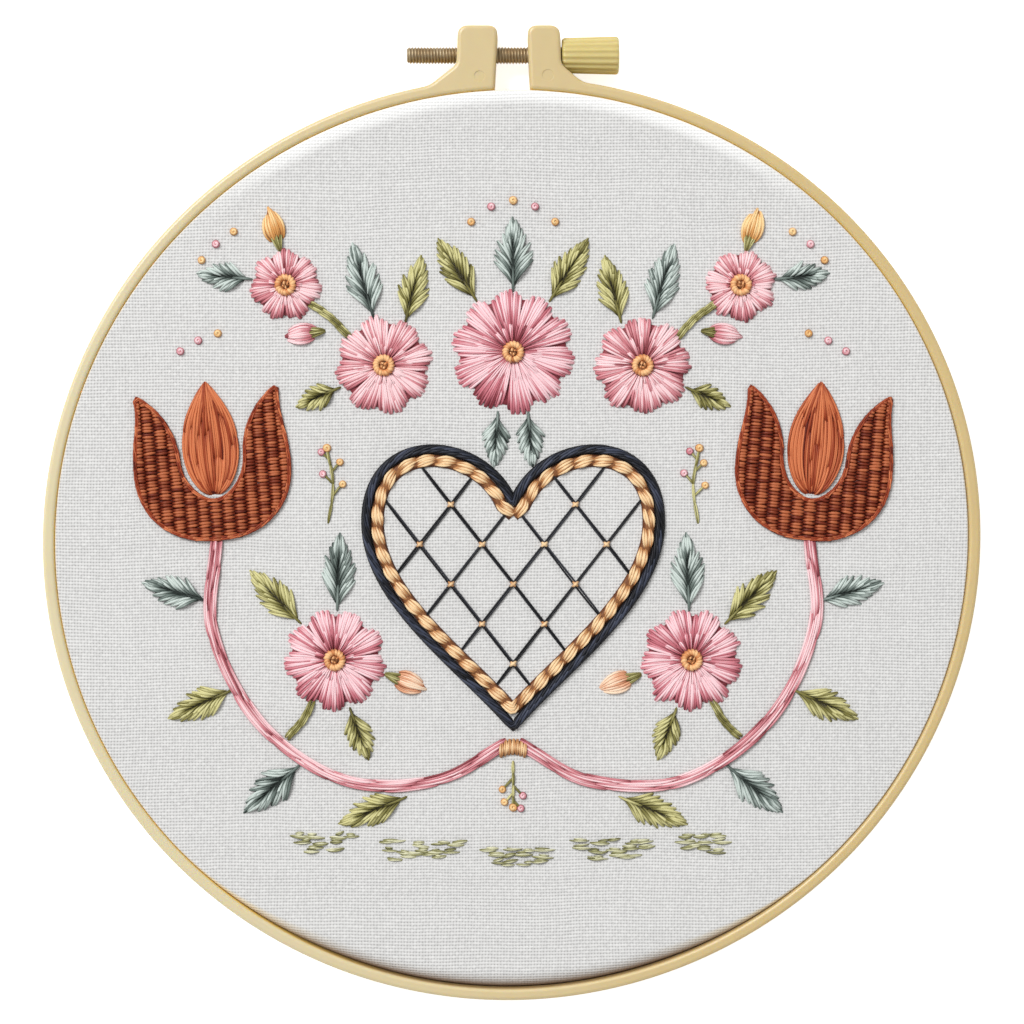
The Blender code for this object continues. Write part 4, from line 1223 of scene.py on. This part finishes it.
def sewLattice(outline):
    work = newWork(0.12, steps=26)
    bound = insetLine(outline, heart["latticeInset"])
    pitch, reach = heart["latticePitch"], heart["latticeReach"]
    layers = ([], [])
    for lines, top, degrees in zip(layers, heart["latticeTops"],
                                   (heart["latticeAngle"], 180 - heart["latticeAngle"])):
        along = headedTo(degrees)
        across = np.array([-along[1], along[0]])
        for i in range(-reach, reach + 1):
            start = heart["latticeCentre"] + across * pitch * i
            ends = crossingsOf(start, along, bound)
            if len(ends) < 2 or ends[-1] - ends[0] < heart["shortest"] * pitch:
                continue
            for low, high in zip(ends[::2], ends[1::2]):
                line = start + along * np.linspace(low, high, 20)[:, None]
                lines.append((line[0], line[-1]))
                layStitch(work, line, top=top, **heart["laid"])
    # a small cross stitch ties the threads down where they meet
    for lower in layers[0]:
        for upper in layers[1]:
            meeting = meetingPoint(*lower, *upper)
            if meeting is None:
                continue
            for degrees in heart["crossAngles"]:
                tip = headedTo(degrees) * heart["crossReach"]
                layStitch(work, [meeting - tip, meeting + tip], **heart["cross"])
    sewPiece(work, "heartLattice", ["black", "tan"], "heart_lattice")


heartLine = sewHeart()
sewLattice(heartLine)
print("heart sewn")


stems = {"route": ((1.2, -45.6), (17, -54), (38, -54), (57, -41), (67.5, -20), (66.4, 0.4)),
         "lanes": ((-0.96, 0.574), (-0.34, 0.7), (0.3, 0.7), (0.94, 0.574)),     # place across, and top
         "length": 13.5, "overlap": 1.3, "width": 0.86, "bed": {"half": 1.25, "height": 0.34},
         "stitch": {"shade": (0.15, 0.75, 0.65, 0.2), "ease": 7.0, "gather": 0.6}}
vines = {"routes": {"upper": ((36.6, 45.2), (40.9, 49.7), (45.6, 53.0)),
                    "lower": ((44.7, -36.0), (47.2, -40.6), (51.0, -44.6))},
         "lanes": (-0.42, 0.42), "length": 4.2, "step": 2.6, "lean": 0.2,
         "stitch": {"width": 0.8, "top": 0.6, "shade": (0.3, 0.6, 0.4), "ease": 3.0}}
stemTie = {"reach": 2.6, "wraps": 7, "y": -46.4, "bend": 0.09, "below": 2.0, "above": 1.7, "lean": 0.12,
           "wrap": {"width": 0.92, "top": 1.25, "shade": (0.2, 0.75, 0.3), "ease": 2.4},
           "bedLine": ((-2.7, -47.0), (0.0, -46.5), (2.7, -47.0)), "bed": {"half": 1.6, "height": 0.8}}


def sewStem(word, side):
    work = newWork(0.24, steps=12, split=0.18)
    route = flipped(smoothLine(stems["route"], 16), side)
    total = lineLength(route)
    for lane, top in stems["lanes"]:
        at = -rng.uniform(2, 10)
        while at < total - 2:
            stop = min(at + stems["length"] * rng.uniform(0.8, 1.2), total)
            part = alongLine(route, np.linspace(max(at, 0), stop, 16) / total)
            drift = np.linspace(0, 1, len(part))[:, None] * rng.normal(0, 0.12) + rng.normal(0, 0.04)
            layStitch(work, part + sidesOf(part) * (lane + drift), stems["width"] * rng.uniform(0.9, 1.12),
                      top, **stems["stitch"])
            at = stop - stems["overlap"]
    layShadeBed(work, alongLine(route, np.linspace(0.005, 0.995, 60)), **stems["bed"])
    sewPiece(work, f"{word}Stem", ["pink"], f"stem_{word}")


def sewVine(word, side, vineName, route):
    work = newWork(0.1, steps=8)
    line = flipped(smoothLine(route, 10), side)
    total = lineLength(line)
    for lane in vines["lanes"]:
        at = 0.0
        while at < total - 1:
            stop = min(at + vines["length"], total)
            part = alongLine(line, np.linspace(at, stop, 8) / total)
            across = lane + np.linspace(-vines["lean"], vines["lean"], 8)[:, None]
            layStitch(work, part + sidesOf(part) * across, **vines["stitch"])
            at += vines["step"]
    sewPiece(work, f"{word}{vineName.capitalize()}Vine", ["olive"], f"vine_{vineName}_{word}")


def sewStemTie():
    # A short bound band where the two stems meet under the heart.
    work = newWork(0.08, steps=8)
    for x in np.linspace(-stemTie["reach"], stemTie["reach"], stemTie["wraps"]):
        y = stemTie["y"] - stemTie["bend"] * x * x
        line = [(x - stemTie["lean"], y - stemTie["below"]), (x + stemTie["lean"], y + stemTie["above"])]
        layStitch(work, line, **stemTie["wrap"])
    layShadeBed(work, stemTie["bedLine"], **stemTie["bed"])
    sewPiece(work, "stemTie", ["tan"])


sewStemTie()
for word, side in bothSides:
    sewStem(word, side)
    for vineName, route in vines["routes"].items():
        sewVine(word, side, vineName, route)
print("stems sewn")


tulip = {
    "x": 66.0, "y": 0.0, "lean": 5.0, "corners": 20,
    "cup": (((0, 0), (9, -0.5), (17.5, 5), (17.5, 16)), ((17.5, 16), (17.5, 24), (15, 28), (16.5, 34)),
            ((16.5, 34), (10, 30), (7.3, 24), (7.2, 18)), ((7.2, 18), (7.0, 13), (3, 9), (0, 9))),
    "petal": (((0, 9.8), (4, 10.5), (6.7, 16), (6.5, 21)), ((6.5, 21), (6.3, 28), (3, 31), (0, 36))),
    "bedFrom": 0.6, "bedTo": 34, "bedPitch": 1.1, "bedInset": 0.6, "bedShortest": 1.6,
    "bed": {"half": 0.62, "height": 0.36},
    "height": 36, "rowPitch": 0.72, "columnPitch": 2.75, "columns": 7, "overlap": 0.1, "inset": 0.2,
    "shortest": 0.7,
    "woven": {"top": 0.82, "plies": 1, "ease": 2.1, "gather": 0.75, "droop": 0.1},
    "edgeInset": 0.25, "edge": {"step": 1.9, "length": 5.2, "offset": 0.24, "width": 0.8, "top": 0.85,
                                "shade": (0.2, 0.5, 0.25), "slot": 1},
    "padInset": 0.4, "padHeight": 0.5, "padLip": 0.35, "strands": 15, "outermost": 0.93,
    "long": {"width": 1.0, "shade": (0.35, 0.7, 0.75, 0.45), "ease": 6.0, "gather": 0.6},
}
rightwards = np.array([1.0, 0.0])


def sewTulipCup(word, place):
    outline = mirroredOutline(bezierRun(tulip["cup"], tulip["corners"]))
    cup = newWork(0.15, steps=5)
    # painted shade: dark beds under the basket rows
    for y in np.arange(tulip["bedFrom"], tulip["bedTo"], tulip["bedPitch"]):
        for low, high in crossingsOf(np.array([0.0, y]), rightwards, outline).reshape(-1, 2):
            if high - low > tulip["bedShortest"]:
                ends = low + tulip["bedInset"], (low + high) / 2, high - tulip["bedInset"]
                layShadeBed(cup, placed([(x, y) for x in ends], *place), **tulip["bed"])
    # basket filling: each row's short stitches fill a column, the next column half a row higher
    rowPitch, columnPitch = tulip["rowPitch"], tulip["columnPitch"]
    rows = int(tulip["height"] / rowPitch)
    for column in range(-tulip["columns"], tulip["columns"] + 1):
        left = (column - 0.5) * columnPitch - tulip["overlap"]
        right = (column + 0.5) * columnPitch + tulip["overlap"]
        columnTone = rng.normal(0, 0.05)
        for row in range(-1, rows + 1):
            y = (row + 0.5 * (column % 2)) * rowPitch + rng.normal(0, 0.05)
            cuts = crossingsOf(np.array([0.0, y]), rightwards, outline)
            for low, high in zip(cuts[::2], cuts[1::2]):
                a, b = max(left, low + tulip["inset"]), min(right, high - tulip["inset"])
                if b - a < tulip["shortest"]:
                    continue
                tilt = rng.normal(0, 0.07)
                bright = rng.uniform(0.5, 0.95) + columnTone
                layStitch(cup, placed([(a, y - tilt), (b, y + tilt)], *place), rowPitch * 0.98,
                          shade=(0.08, bright, bright * 0.9, 0.12), **tulip["woven"])
    sewRope(cup, placed(insetLine(outline, tulip["edgeInset"]), *place), **tulip["edge"])
    sewPiece(cup, f"{word}TulipCup", ["rust", "copper"], f"tulip_{word}_cup")


def sewTulipPetal(word, place):
    half = bezierRun(tulip["petal"], tulip["corners"])
    petal = newWork(0.17, steps=14, split=0.14)
    layShadePad(petal, placed(insetLine(mirroredOutline(half), tulip["padInset"]), *place), tulip["padHeight"],
           tulip["padLip"])
    heights = np.linspace(half[0, 1], half[-1, 1], 60)
    widest = np.interp(heights, half[:, 1], half[:, 0])
    for share in np.linspace(-tulip["outermost"], tulip["outermost"], tulip["strands"]):
        inside = widest > abs(share) * 0.35 + 0.25
        strand = np.stack([share * (widest[inside] - 0.2), heights[inside]], axis=-1)
        # two long stitches, meeting anywhere along the petal
        cutAt = rng.uniform(0.22, 0.78)
        for start, stop in ((0.0, cutAt + 0.04), (cutAt - 0.04, 1.0)):
            part = alongLine(strand, np.linspace(start, stop, 14))
            layStitch(petal, placed(part, *place), top=0.85 - 0.25 * abs(share), **tulip["long"])
    sewPiece(petal, f"{word}TulipPetal", ["copper"], f"tulip_{word}_petal")


for word, side in bothSides:
    tulipPlace = (side * tulip["x"], tulip["y"], -side * tulip["lean"])
    sewTulipCup(word, tulipPlace)
    sewTulipPetal(word, tulipPlace)
print("tulips sewn")


daisyPlaces = [
    {"name": "top", "x": 0.0, "y": 42.0, "radius": 14.0, "petals": 10, "thread": "rose"},
    {"name": "upper", "x": 29.0, "y": 39.0, "radius": 11.0, "petals": 8, "thread": "pink"},
    {"name": "lower", "x": 40.0, "y": -27.0, "radius": 11.5, "petals": 9, "thread": "rose"},
    {"name": "outer", "x": 51.0, "y": 57.0, "radius": 8.0, "petals": 7, "thread": "pink"},
]
daisyLook = {
    "spacing": 1.32, "notch": 0.13, "notchPower": 2.2, "eye": 2.2, "start": 1.76, "fan": 0.12,
    "padShare": 0.86, "pad": {"height": 0.5, "lip": 0.8},
    "long": {"width": 1.32, "top": 0.95, "ease": 4.5, "swell": (0.4, 0.72, 1.05)},
    "upSheenTones": (0.0, 0.2, 0.6, 0.9, 0.65), "downSheenTones": (0.3, 0.92, 0.88, 0.55, 0.2),
    "shortShare": 0.55, "shortReach": (0.42, 0.72), "belowFrom": -0.2, "darkWidth": 0.62, "paleWidth": 0.95,
    "short": {"top": 1.2, "ease": 3.2, "droop": 0.25, "swell": (0.5, 0.8, 0.9)},
    "darkTones": (0.0, 0.08, 0.25, 0.4), "belowSheenTones": (0.4, 0.95, 0.9, 0.6),
    "paleTones": (0.05, 0.3, 0.75, 0.9),
}
eyeLook = {
    "wraps": 17, "wrapRun": ((0.0, 0.95), (0.2, 1.75), (0.42, 2.4)),     # turn and reach along a wrap
    "wrap": {"width": 0.86, "top": 1.85, "shade": (0.15, 0.8, 0.35), "plies": 1, "ease": 2.0, "droop": 0.5,
             "slot": 1, "counts": False},
    "padRadius": 2.1, "pad": {"height": 1.15, "lip": 0.7, "shade": 0.15, "slot": 2},
    "knots": 9, "knotTurn": 0.7, "knotReach": 0.5, "knotHalf": 0.6,
    "knot": {"width": 0.5, "shade": (0.2, 0.75, 0.3), "plies": 1, "ease": 2.0, "droop": 1.0, "counts": False},
}


def sewPetals(work, centre, radius, petals):
    look = daisyLook
    count = round(2 * math.pi * radius / look["spacing"])
    start = rng.uniform(0, 2 * math.pi)
    layShadePad(work, roundOutline(radius * look["padShare"], 40, centre), **look["pad"])
    petalTone = rng.normal(0, 0.08, petals + 1)
    for i in range(count):
        angle = start + 2 * math.pi * (i + rng.uniform(-0.15, 0.15)) / count
        phase = (angle - start) * petals / (2 * math.pi)
        offset = phase % 1 - 0.5                        # 0 in a petal's middle
        reach = radius * (1 - look["notch"] * abs(2 * offset) ** look["notchPower"]) + rng.normal(0, 0.22)
        outer = angle - offset * look["fan"] * 2 * math.pi / petals
        middle = onCircle((angle + outer) / 2 + rng.normal(0, 0.01), (reach + look["eye"]) / 2)
        line = smoothLine([onCircle(angle, look["start"]), middle, onCircle(outer, reach)], 5) + centre
        # painted sheen: petals that point up are palest at their tips, those that point down beside the eye
        upward = 0.5 + 0.5 * math.sin(angle)
        tones = np.array(look["downSheenTones"]) * (1 - upward) + np.array(look["upSheenTones"]) * upward
        layStitch(work, line, shade=tones + petalTone[int(phase) % petals], **look["long"])
    short = round(count * look["shortShare"])
    for i in range(short):
        angle = start + 2 * math.pi * (i + rng.uniform(-0.25, 0.25)) / short
        reach = radius * rng.uniform(*look["shortReach"])
        line = np.array([onCircle(angle, look["start"]),
                         onCircle(angle + rng.normal(0, 0.02), reach)]) + centre
        # painted sheen: short stitches below the eye are pale, like the petals there
        below = math.sin(angle) < look["belowFrom"]
        dark = i % 2 == 1 and not below
        tones = look["darkTones" if dark else "belowSheenTones" if below else "paleTones"]
        layStitch(work, line, look["darkWidth" if dark else "paleWidth"], shade=tones, **look["short"])


def sewEye(work, centre):
    # A coiled ring with a dark knot in its hollow.
    for i in range(eyeLook["wraps"]):
        angle = 2 * math.pi * i / eyeLook["wraps"]
        line = np.array([onCircle(angle + turn, reach) for turn, reach in eyeLook["wrapRun"]]) + centre
        layStitch(work, line, **eyeLook["wrap"])
    # painted shade in the eye's hollow, under the knots
    layShadePad(work, roundOutline(eyeLook["padRadius"], 20, centre), **eyeLook["pad"])
    for i in range(eyeLook["knots"]):
        tip = onCircle(rng.uniform(0, math.pi), eyeLook["knotHalf"])
        middle = onCircle(i * eyeLook["knotTurn"], eyeLook["knotReach"]) + centre
        layStitch(work, np.array([middle - tip, middle + tip]), top=rng.uniform(1.5, 1.8), slot=2 - i % 2,
                  **eyeLook["knot"])


for row in daisyPlaces:
    for word, side in sidesFor(row["x"]):
        daisy = newWork(0.17, steps=11, split=0.13)
        daisyCentre = (side * row["x"], row["y"])
        sewPetals(daisy, daisyCentre, row["radius"], row["petals"])
        sewEye(daisy, daisyCentre)
        sewPiece(daisy, f"{row['name']}Daisy{word.capitalize()}", [row["thread"], "apricot", "brown"],
                 withWord(f"daisy_{row['name']}", word))
print("daisies sewn")


# Each leaf's foot, angle, length, width and thread.
leafPlaces = {
    "top": (0.0, 56.9, 90, 15, 7.4, "sage"),
    "top_side": (8.8, 54.4, 58, 15, 6.4, "olive"),
    "cleft": (3.5, 27.4, -86, 11, 5.4, "sage"),
    "upper_tall": (31.6, 50.8, 74, 16, 6.8, "sage"),
    "upper_inner": (23.9, 49.8, 104, 14, 6.0, "olive"),
    "upper_low": (39.9, 33.6, -24, 9.5, 5.0, "olive"),
    "lower_tall": (39.4, -14.8, 92, 16, 6.8, "sage"),
    "lower_side": (48.4, -18.0, 46, 15, 6.4, "olive"),
    "lower_down": (36.2, -39.0, -110, 11, 5.6, "olive"),
    "outer": (59.8, 58.4, 6, 11, 5.6, "sage"),
    "stem_low": (25.0, -58.2, -22, 15, 6.2, "olive"),
    "stem_middle": (48.8, -51.4, -40, 15, 6.8, "sage"),
    "stem_side": (64.0, -34.2, -24, 14.5, 6.2, "olive"),
    "stem_high": (69.9, -13.4, 16, 13.5, 6.2, "sage"),
}
leafLook = {
    "padEnds": (0.03, 0.95, 18), "padShare": 0.74, "padHeight": 0.26, "strokePitch": 1.85, "fewest": 5,
    "tipStart": 0.62, "tipEnd": 1.03, "footRun": 0.74, "stagger": 0.25, "longest": 0.985, "bow": 0.72,
    "tip": {"width": 1.2, "top": 0.5, "shade": (0.5, 0.8, 0.45), "ease": 2.6, "swell": (1, 1, 0.6)},
    "stroke": {"width": 1.24, "top": 0.8, "shade": (0.0, 0.5, 0.85, 0.5), "ease": 2.4, "gather": 0.4,
               "swell": (0.6, 1.0, 0.72), "flat": 1.0},
    "stalk": {"width": 0.6, "top": 0.5, "shade": (0.2, 0.4, 0.0), "plies": 1, "ease": 5.0},
}


def halfLeaf(share, width):
    return width / 2 * np.sin(np.pi * np.clip(share, 0, 1) ** 0.85) ** 0.9


def layLeafShadePad(work, place, length, width, ends, padShare, height, shade=0.0):
    shares = np.linspace(*ends)
    edge = np.stack([shares * length, halfLeaf(shares, width) * padShare], axis=-1)
    layShadePad(work, placed(np.vstack([edge, edge[::-1] * (1, -1)]), *place), height, shade=shade)


def sewLeaf(leafName, word, side):
    x, y, degrees, length, width, thread = leafPlaces[leafName]
    place, look = flippedPlace(x, y, degrees, side), leafLook
    work = newWork(0.17, steps=9, split=0.14)
    layLeafShadePad(work, place, length, width, look["padEnds"], look["padShare"], look["padHeight"])
    strokes = max(look["fewest"], round(length / look["strokePitch"]))
    ends = [(look["tipStart"] * length, 0), (look["tipEnd"] * length, rng.normal(0, 0.1))]
    layStitch(work, placed(ends, *place), **look["tip"])
    for i in reversed(range(strokes)):
        for flank in (1, -1):
            foot = (i + look["stagger"] * (flank > 0)) / strokes * look["footRun"]
            tip = min(foot + rng.uniform(0.33, 0.40), look["longest"])
            out = halfLeaf(tip, width) * rng.uniform(0.95, 1.15) + rng.uniform(0.1, 0.4)
            bow = halfLeaf((foot + tip) / 2 + 0.06, width) * look["bow"]
            line = smoothLine([(foot * length, flank * 0.16),
                               ((foot + (tip - foot) * 0.45) * length, flank * bow * 0.62),
                               (tip * length, flank * out)], 4)
            layStitch(work, placed(line, *place), **look["stroke"])
    layStitch(work, placed([(-1.4, 0.0), (0.3 * length, 0.0)], *place), **look["stalk"])
    first, *others = leafName.split("_")
    name = first + "".join(part.capitalize() for part in others) + "Leaf" + word.capitalize()
    sewPiece(work, name, [thread], withWord(f"leaf_{leafName}", word))


for leafName, row in leafPlaces.items():
    for word, side in sidesFor(row[0]):
        sewLeaf(leafName, word, side)
print("leaves sewn")


budPlaces = {
    "outer": (52.5, 65.8, 74, 9.0, 4.0, "ochre"),
    "upper": (43.4, 46.6, -8, 8.5, 3.8, "pink"),
    "lower": (27.6, -30.6, 200, 9.0, 4.0, "peach"),
}
budLook = {
    "padEnds": (0.05, 0.93, 14), "padShare": 0.8, "padHeight": 0.4, "padShade": 0.05,
    "lanes": (-0.95, 0.95, -0.6, 0.6, -0.2, 0.25), "top": 1.0, "sink": 0.35,
    "petal": {"width": 1.05, "shade": (0.1, 0.5, 0.9, 0.55), "ease": 2.6, "gather": 0.4, "flat": 1.0},
    "cupLanes": (-0.8, 0.0, 0.8), "cupTop": 1.02, "cupSink": 0.3,
    "cup": {"width": 0.75, "shade": (0.3, 0.55, 0.4), "ease": 2.8, "slot": 1},
}


def sewBud(budName, word, side):
    x, y, degrees, length, width, thread = budPlaces[budName]
    place, look = flippedPlace(x, y, degrees, side), budLook
    work = newWork(0.15, steps=9, split=0.12)
    layLeafShadePad(work, place, length, width, look["padEnds"], look["padShare"], look["padHeight"],
               look["padShade"])
    for lane in look["lanes"]:
        t = np.linspace(rng.uniform(0.0, 0.2), rng.uniform(0.86, 1.04) - abs(lane) * 0.1, 10)
        line = np.stack([t * length, lane * (halfLeaf(t, width) + 0.12)], axis=-1)
        layStitch(work, placed(line, *place), top=look["top"] - look["sink"] * abs(lane), **look["petal"])
    for lane in look["cupLanes"]:
        line = [(-1.3, lane * 0.15), (0.34 * length - abs(lane) * 0.5, lane * width * 0.36)]
        layStitch(work, placed(line, *place), top=look["cupTop"] - look["cupSink"] * abs(lane), **look["cup"])
    sewPiece(work, f"{budName}Bud{word.capitalize()}", [thread, "olive"], f"bud_{budName}_{word}")


for budName in budPlaces:
    for word, side in bothSides:
        sewBud(budName, word, side)
print("buds sewn")


sprigPlaces = [
    {"x": 41.5, "y": 3.5, "angle": 87, "length": 17.0, "bend": 1.6},
    {"x": 0.0, "y": -49.6, "angle": -90, "length": 10.5, "bend": 0.0},
]
sprigLook = {
    "parts": ((0.0, 0.3), (0.24, 0.55), (0.5, 0.8), (0.74, 1.0)), "twigs": (0.36, 0.52, 0.68, 0.84),
    "twigTurn": 42, "twigLength": 4.4, "twigTaper": 2.2, "knot": 1.5, "tipKnot": 1.7,
    "stalk": {"width": 0.66, "top": 0.45, "shade": (0.3, 0.65, 0.45), "ease": 3.5},
    "twig": {"width": 0.5, "top": 0.42, "shade": (0.35, 0.65, 0.4), "plies": 1, "ease": 3.0},
}
knotPlaces = [(9.4, 71.2), (4.9, 74.6), (62.6, 69.0), (66.6, 66.2), (69.8, 62.6), (70.6, 44.6), (66.2, 46.2),
              (74.6, 42.2)]
topKnot = {"y": 76.0, "size": 1.7}
looseKnot = 1.6
knotCoil = {"turns": 2.3, "points": 30, "along": (0, 0.45, 0.85, 1), "reach": (0.42, 0.36, 0.24, 0.02),
            "rise": (0.1, 0.42, 0.72, 0.3), "thick": 0.19, "flat": 0.95, "tones": (0.15, 0.9)}


def sewKnot(work, x, y, size, slot):
    # A thread wound twice round the needle, lying as a coil with its end drawn down the middle.
    count = knotCoil["points"]
    t = np.linspace(0, 1, count)
    turn = t * knotCoil["turns"] * 2 * np.pi + rng.uniform(0, 6)
    reach = size * np.interp(t, knotCoil["along"], knotCoil["reach"])
    path = np.column_stack([x + reach * np.cos(turn), y + reach * np.sin(turn),
                            np.interp(t, knotCoil["along"], knotCoil["rise"])])
    work["strands"].append({"path": path, "half": np.full(count, size * knotCoil["thick"]),
                            "flat": knotCoil["flat"],
                            "shade": np.linspace(*knotCoil["tones"], count) + rng.normal(0, 0.08),
                            "slot": slot, "around": plyShape["around"]})


def sewSprig(work, row, side):
    place = flippedPlace(row["x"], row["y"], row["angle"], side)
    length, bend = row["length"], side * row["bend"]
    stem = smoothLine([(0, 0), (length * 0.5, bend), (length, bend * 0.4)], 8)
    for start, stop in sprigLook["parts"]:
        layStitch(work, placed(alongLine(stem, np.linspace(start, stop, 8)), *place), **sprigLook["stalk"])
    for number, share in enumerate(sprigLook["twigs"]):
        foot = alongLine(stem, [share])[0]
        turn = sprigLook["twigTurn"] if number % 2 else -sprigLook["twigTurn"]
        tip = foot + headedTo(turn) * (sprigLook["twigLength"] - sprigLook["twigTaper"] * share)
        layStitch(work, placed([foot, (foot + tip) / 2 + (0.15, 0), tip], *place), **sprigLook["twig"])
        sewKnot(work, *placed(tip, *place), sprigLook["knot"], 1 + number % 2)
    sewKnot(work, *placed(stem[-1], *place), sprigLook["tipKnot"], 1)


def sewSprigs():
    work = newWork(0.14, steps=7)
    for row in sprigPlaces:
        for _, side in sidesFor(row["x"]):
            sewSprig(work, row, side)
    sewKnot(work, 0, topKnot["y"], topKnot["size"], 1)
    for number, (x, y) in enumerate(knotPlaces):
        for _, side in bothSides:
            sewKnot(work, side * x, y, looseKnot, 1 + number % 2)
    sewPiece(work, "knotSprigs", ["olive", "ochre", "rose"])


sewSprigs()
print("sprigs and knots sewn")


dashClumps = [{"x": -42, "y": -66.6, "reach": 7.5, "count": 10},
              {"x": -21, "y": -68.4, "reach": 10, "count": 15},
              {"x": 1, "y": -69.6, "reach": 8.5, "count": 12},
              {"x": 23, "y": -68.0, "reach": 9.5, "count": 14},
              {"x": 43, "y": -66.8, "reach": 6.5, "count": 9}]
dashLook = {"rows": 3, "rowPitch": 1.5, "narrowing": 0.15,
            "stitch": {"shade": (0.1, 0.75, 0.3), "ease": 2.6, "swell": (0.7, 1.0, 0.6)}}


def sewDashes():
    work = newWork(0.18, steps=7, split=0.18)
    rows = dashLook["rows"]
    for clump in dashClumps:
        for number in range(clump["count"]):
            row = number % rows
            along = (number // rows + 0.5) / math.ceil(clump["count"] / rows) * 2 - 1
            x = clump["x"] + along * clump["reach"] * (1 - dashLook["narrowing"] * row) + rng.normal(0, 0.7)
            y = clump["y"] - dashLook["rowPitch"] * row + rng.normal(0, 0.3)
            # a long stitch, and a shorter one close above it
            for shift, low, high in ((0.0, 3.0, 5.2), (rng.uniform(0.3, 0.6), 1.8, 3.8)):
                length, rise = rng.uniform(low, high), rng.normal(0.1, 0.3)
                x += rng.normal(0, 0.6) * (shift > 0)
                layStitch(work, [(x - length / 2, y + shift), (x + length / 2, y + shift + rise)],
                          rng.uniform(0.5, 0.9), rng.uniform(0.4, 0.6), **dashLook["stitch"])
    sewPiece(work, "groundDashes", ["moss"])


sewDashes()
